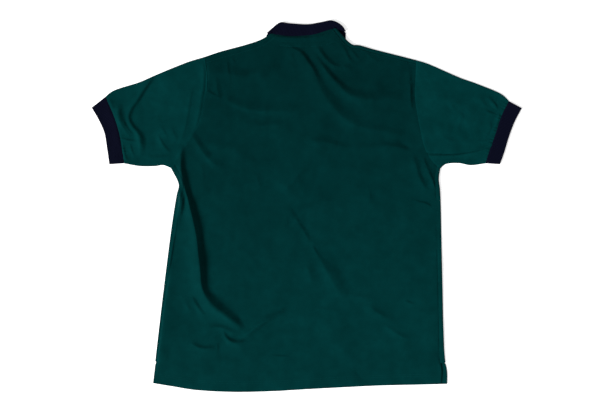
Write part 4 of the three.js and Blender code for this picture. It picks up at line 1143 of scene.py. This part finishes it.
def sew(name, rows):
    """Stitches along rows of (line, height of the surface, 1 on top of it or -1 beneath)."""
    bm = bmesh.new()
    for line, high, facing in rows:
        steps = np.arange(STITCH_PITCH / 2, length_of(line), STITCH_PITCH / STEPS_A_STITCH)
        line = at_lengths(line, steps)
        z = high(line) + facing * THREAD_PROUD
        for k in range(STEPS_A_STITCH // 2, len(line) - 2, STEPS_A_STITCH):
            add_stitch(bm, (*line[k], z[k]), (*(line[k + 1] - line[k - 1]), z[k + 1] - z[k - 1]))
    finish_thread(bm, name)


HEM_ROWS, HEM_END, HEM_PLACES = (18, 22), 4, 300  # heights over the hem, distance from the vents
SHOULDER_ROW, VENT_ROW = 3.4, 5  # distances from the seams
hem_x = np.linspace(hem_left[0] + HEM_END, hem_right[0] - HEM_END, HEM_PLACES)
hem_rows = [hem_line(hem_x) + (0, up) for up in HEM_ROWS]
sew("hem_stitches", [(row, top, 1) for row in hem_rows] + [(row, under, -1) for row in hem_rows])
sew("shoulder_stitches",
    [(shoulder_runs[s].at(SHOULDER_INSET[s] + SHOULDER_ROW), top, 1) for s in SIDES])
sew("neck_stitches", [(neck_stitch, top, 1)])
sew("vent_stitches",
    [(side_runs[s].at(inset_of(s) + VENT_ROW)[:STATIONS["vent"] + 2], top, 1) for s in SIDES])
EDGE_ROW, BOX_HIGH = 3, 18  # distance from the placket's edges, and the box sewn at its foot
x0, x1 = CENTRE_X - STRIP_WIDE / 2 + EDGE_ROW, CENTRE_X + STRIP_WIDE / 2 - EDGE_ROW
y0, y1 = SLOT_HEAD - STRIP_LONG + EDGE_ROW, SLOT_HEAD - EDGE_ROW
placket_row = [(x0, y0), (x0, y1), (x1, y1), (x1, y0), (x0, y0), (x0, y0 + BOX_HIGH),
               (x1, y0 + BOX_HIGH)]
sew("placket_stitches", [(np.array(placket_row, float), level(STRIP_REST), -1)])

# Bars of close stitches on both sides of each buttonhole, a tack at its ends, and two strands of
# thread in each button.
BUTTONHOLE, BAR_PITCH, BAR_OFF, BAR_LONG = 15, 0.55, 1.1, 1.6
TACK_LONG, TACK_PROUD = 2 * (BAR_OFF + BAR_LONG / 2), 0.1
STRAND_LONG = 2 * HOLE_OFF + 0.9
bars, strands = bmesh.new(), bmesh.new()
for x, y in button_places:
    for up in np.arange(-BUTTONHOLE / 2, BUTTONHOLE / 2, BAR_PITCH):
        for side in (-1, 1):
            place = (x + side * BAR_OFF, y + up, STRIP_REST - THREAD_PROUD)
            add_stitch(bars, place, (1, 0, 0), BAR_LONG)
    for end in (-1, 1):
        place = (x, y + end * BUTTONHOLE / 2, STRIP_REST - TACK_PROUD)
        add_stitch(bars, place, (1, 0, 0), TACK_LONG)
        place = (x + end * HOLE_OFF, y, RIM[0][1] - TACK_PROUD)
        add_stitch(strands, place, (0, 1, 0), STRAND_LONG)
finish_thread(bars, "buttonhole_stitches")
finish_thread(strands, "button_thread")

# --- Floor, light and camera ---
# A plain pale table under soft light from the lower left, seen straight from above, as in the
# photograph. The table glows a little of itself: painted light, which washes out the shirt's
# shadow on it.
FLOOR_HALF, FLOOR_DROP = 12, 0.0006  # metres; the drop clears the stitches under the hem
bm = bmesh.new()
bmesh.ops.create_grid(bm, x_segments=1, y_segments=1, size=FLOOR_HALF)
bmesh.ops.translate(bm, verts=bm.verts, vec=(0, 0, -FLOOR_DROP))
pale_glow = Tree("pale_glowing_table", Roughness=0.9, Specular_IOR_Level=0.1)
# Painted light: the table's own glow, which fills in the shadow that the shirt casts on it.
pale_glow.set(Base_Color=(0.86, 0.86, 0.86, 1), Emission_Color=(1, 1, 1, 1), Emission_Strength=0.55)
floor = as_object(bm, "floor", pale_glow.material)

KEY_FROM, KEY_POWER, KEY_SPREAD, ROOM_LIGHT = (-0.87, -0.5, 0.66), 5.0, 0.36, 0.40
key = bpy.data.lights.new("key", "SUN")
key.energy = KEY_POWER
key.angle = KEY_SPREAD
lamp = bpy.data.objects.new("key", key)
lamp.rotation_mode = "QUATERNION"
lamp.rotation_quaternion = Vector(KEY_FROM).to_track_quat("Z", "Y")
bpy.context.collection.objects.link(lamp)
world = bpy.data.worlds.new("studio")
bpy.context.scene.world = world
world.use_nodes = True
background = world.node_tree.nodes["Background"]
background.inputs["Color"].default_value = (1, 1, 1, 1)
background.inputs["Strength"].default_value = ROOM_LIGHT
bpy.context.scene.view_settings.view_transform = "Standard"

HEIGHT = 3.0  # metres
PHOTO_WIDE, PHOTO_HIGH, PX = 600, 420, 2.15  # size in pixels, and millimetres to a pixel
ORIGIN_ACROSS, ORIGIN_DOWN = 306.75, 206.2  # where the photograph has the origin
camera_data = bpy.data.cameras.new("camera")
camera = bpy.data.objects.new("camera", camera_data)
camera_data.lens = camera_data.sensor_width * HEIGHT / (PHOTO_WIDE * PX * MM)
camera.location = ((PHOTO_WIDE / 2 - ORIGIN_ACROSS) * PX * MM,
                   (ORIGIN_DOWN - PHOTO_HIGH / 2) * PX * MM, HEIGHT)
bpy.context.collection.objects.link(camera)
bpy.context.scene.camera = camera
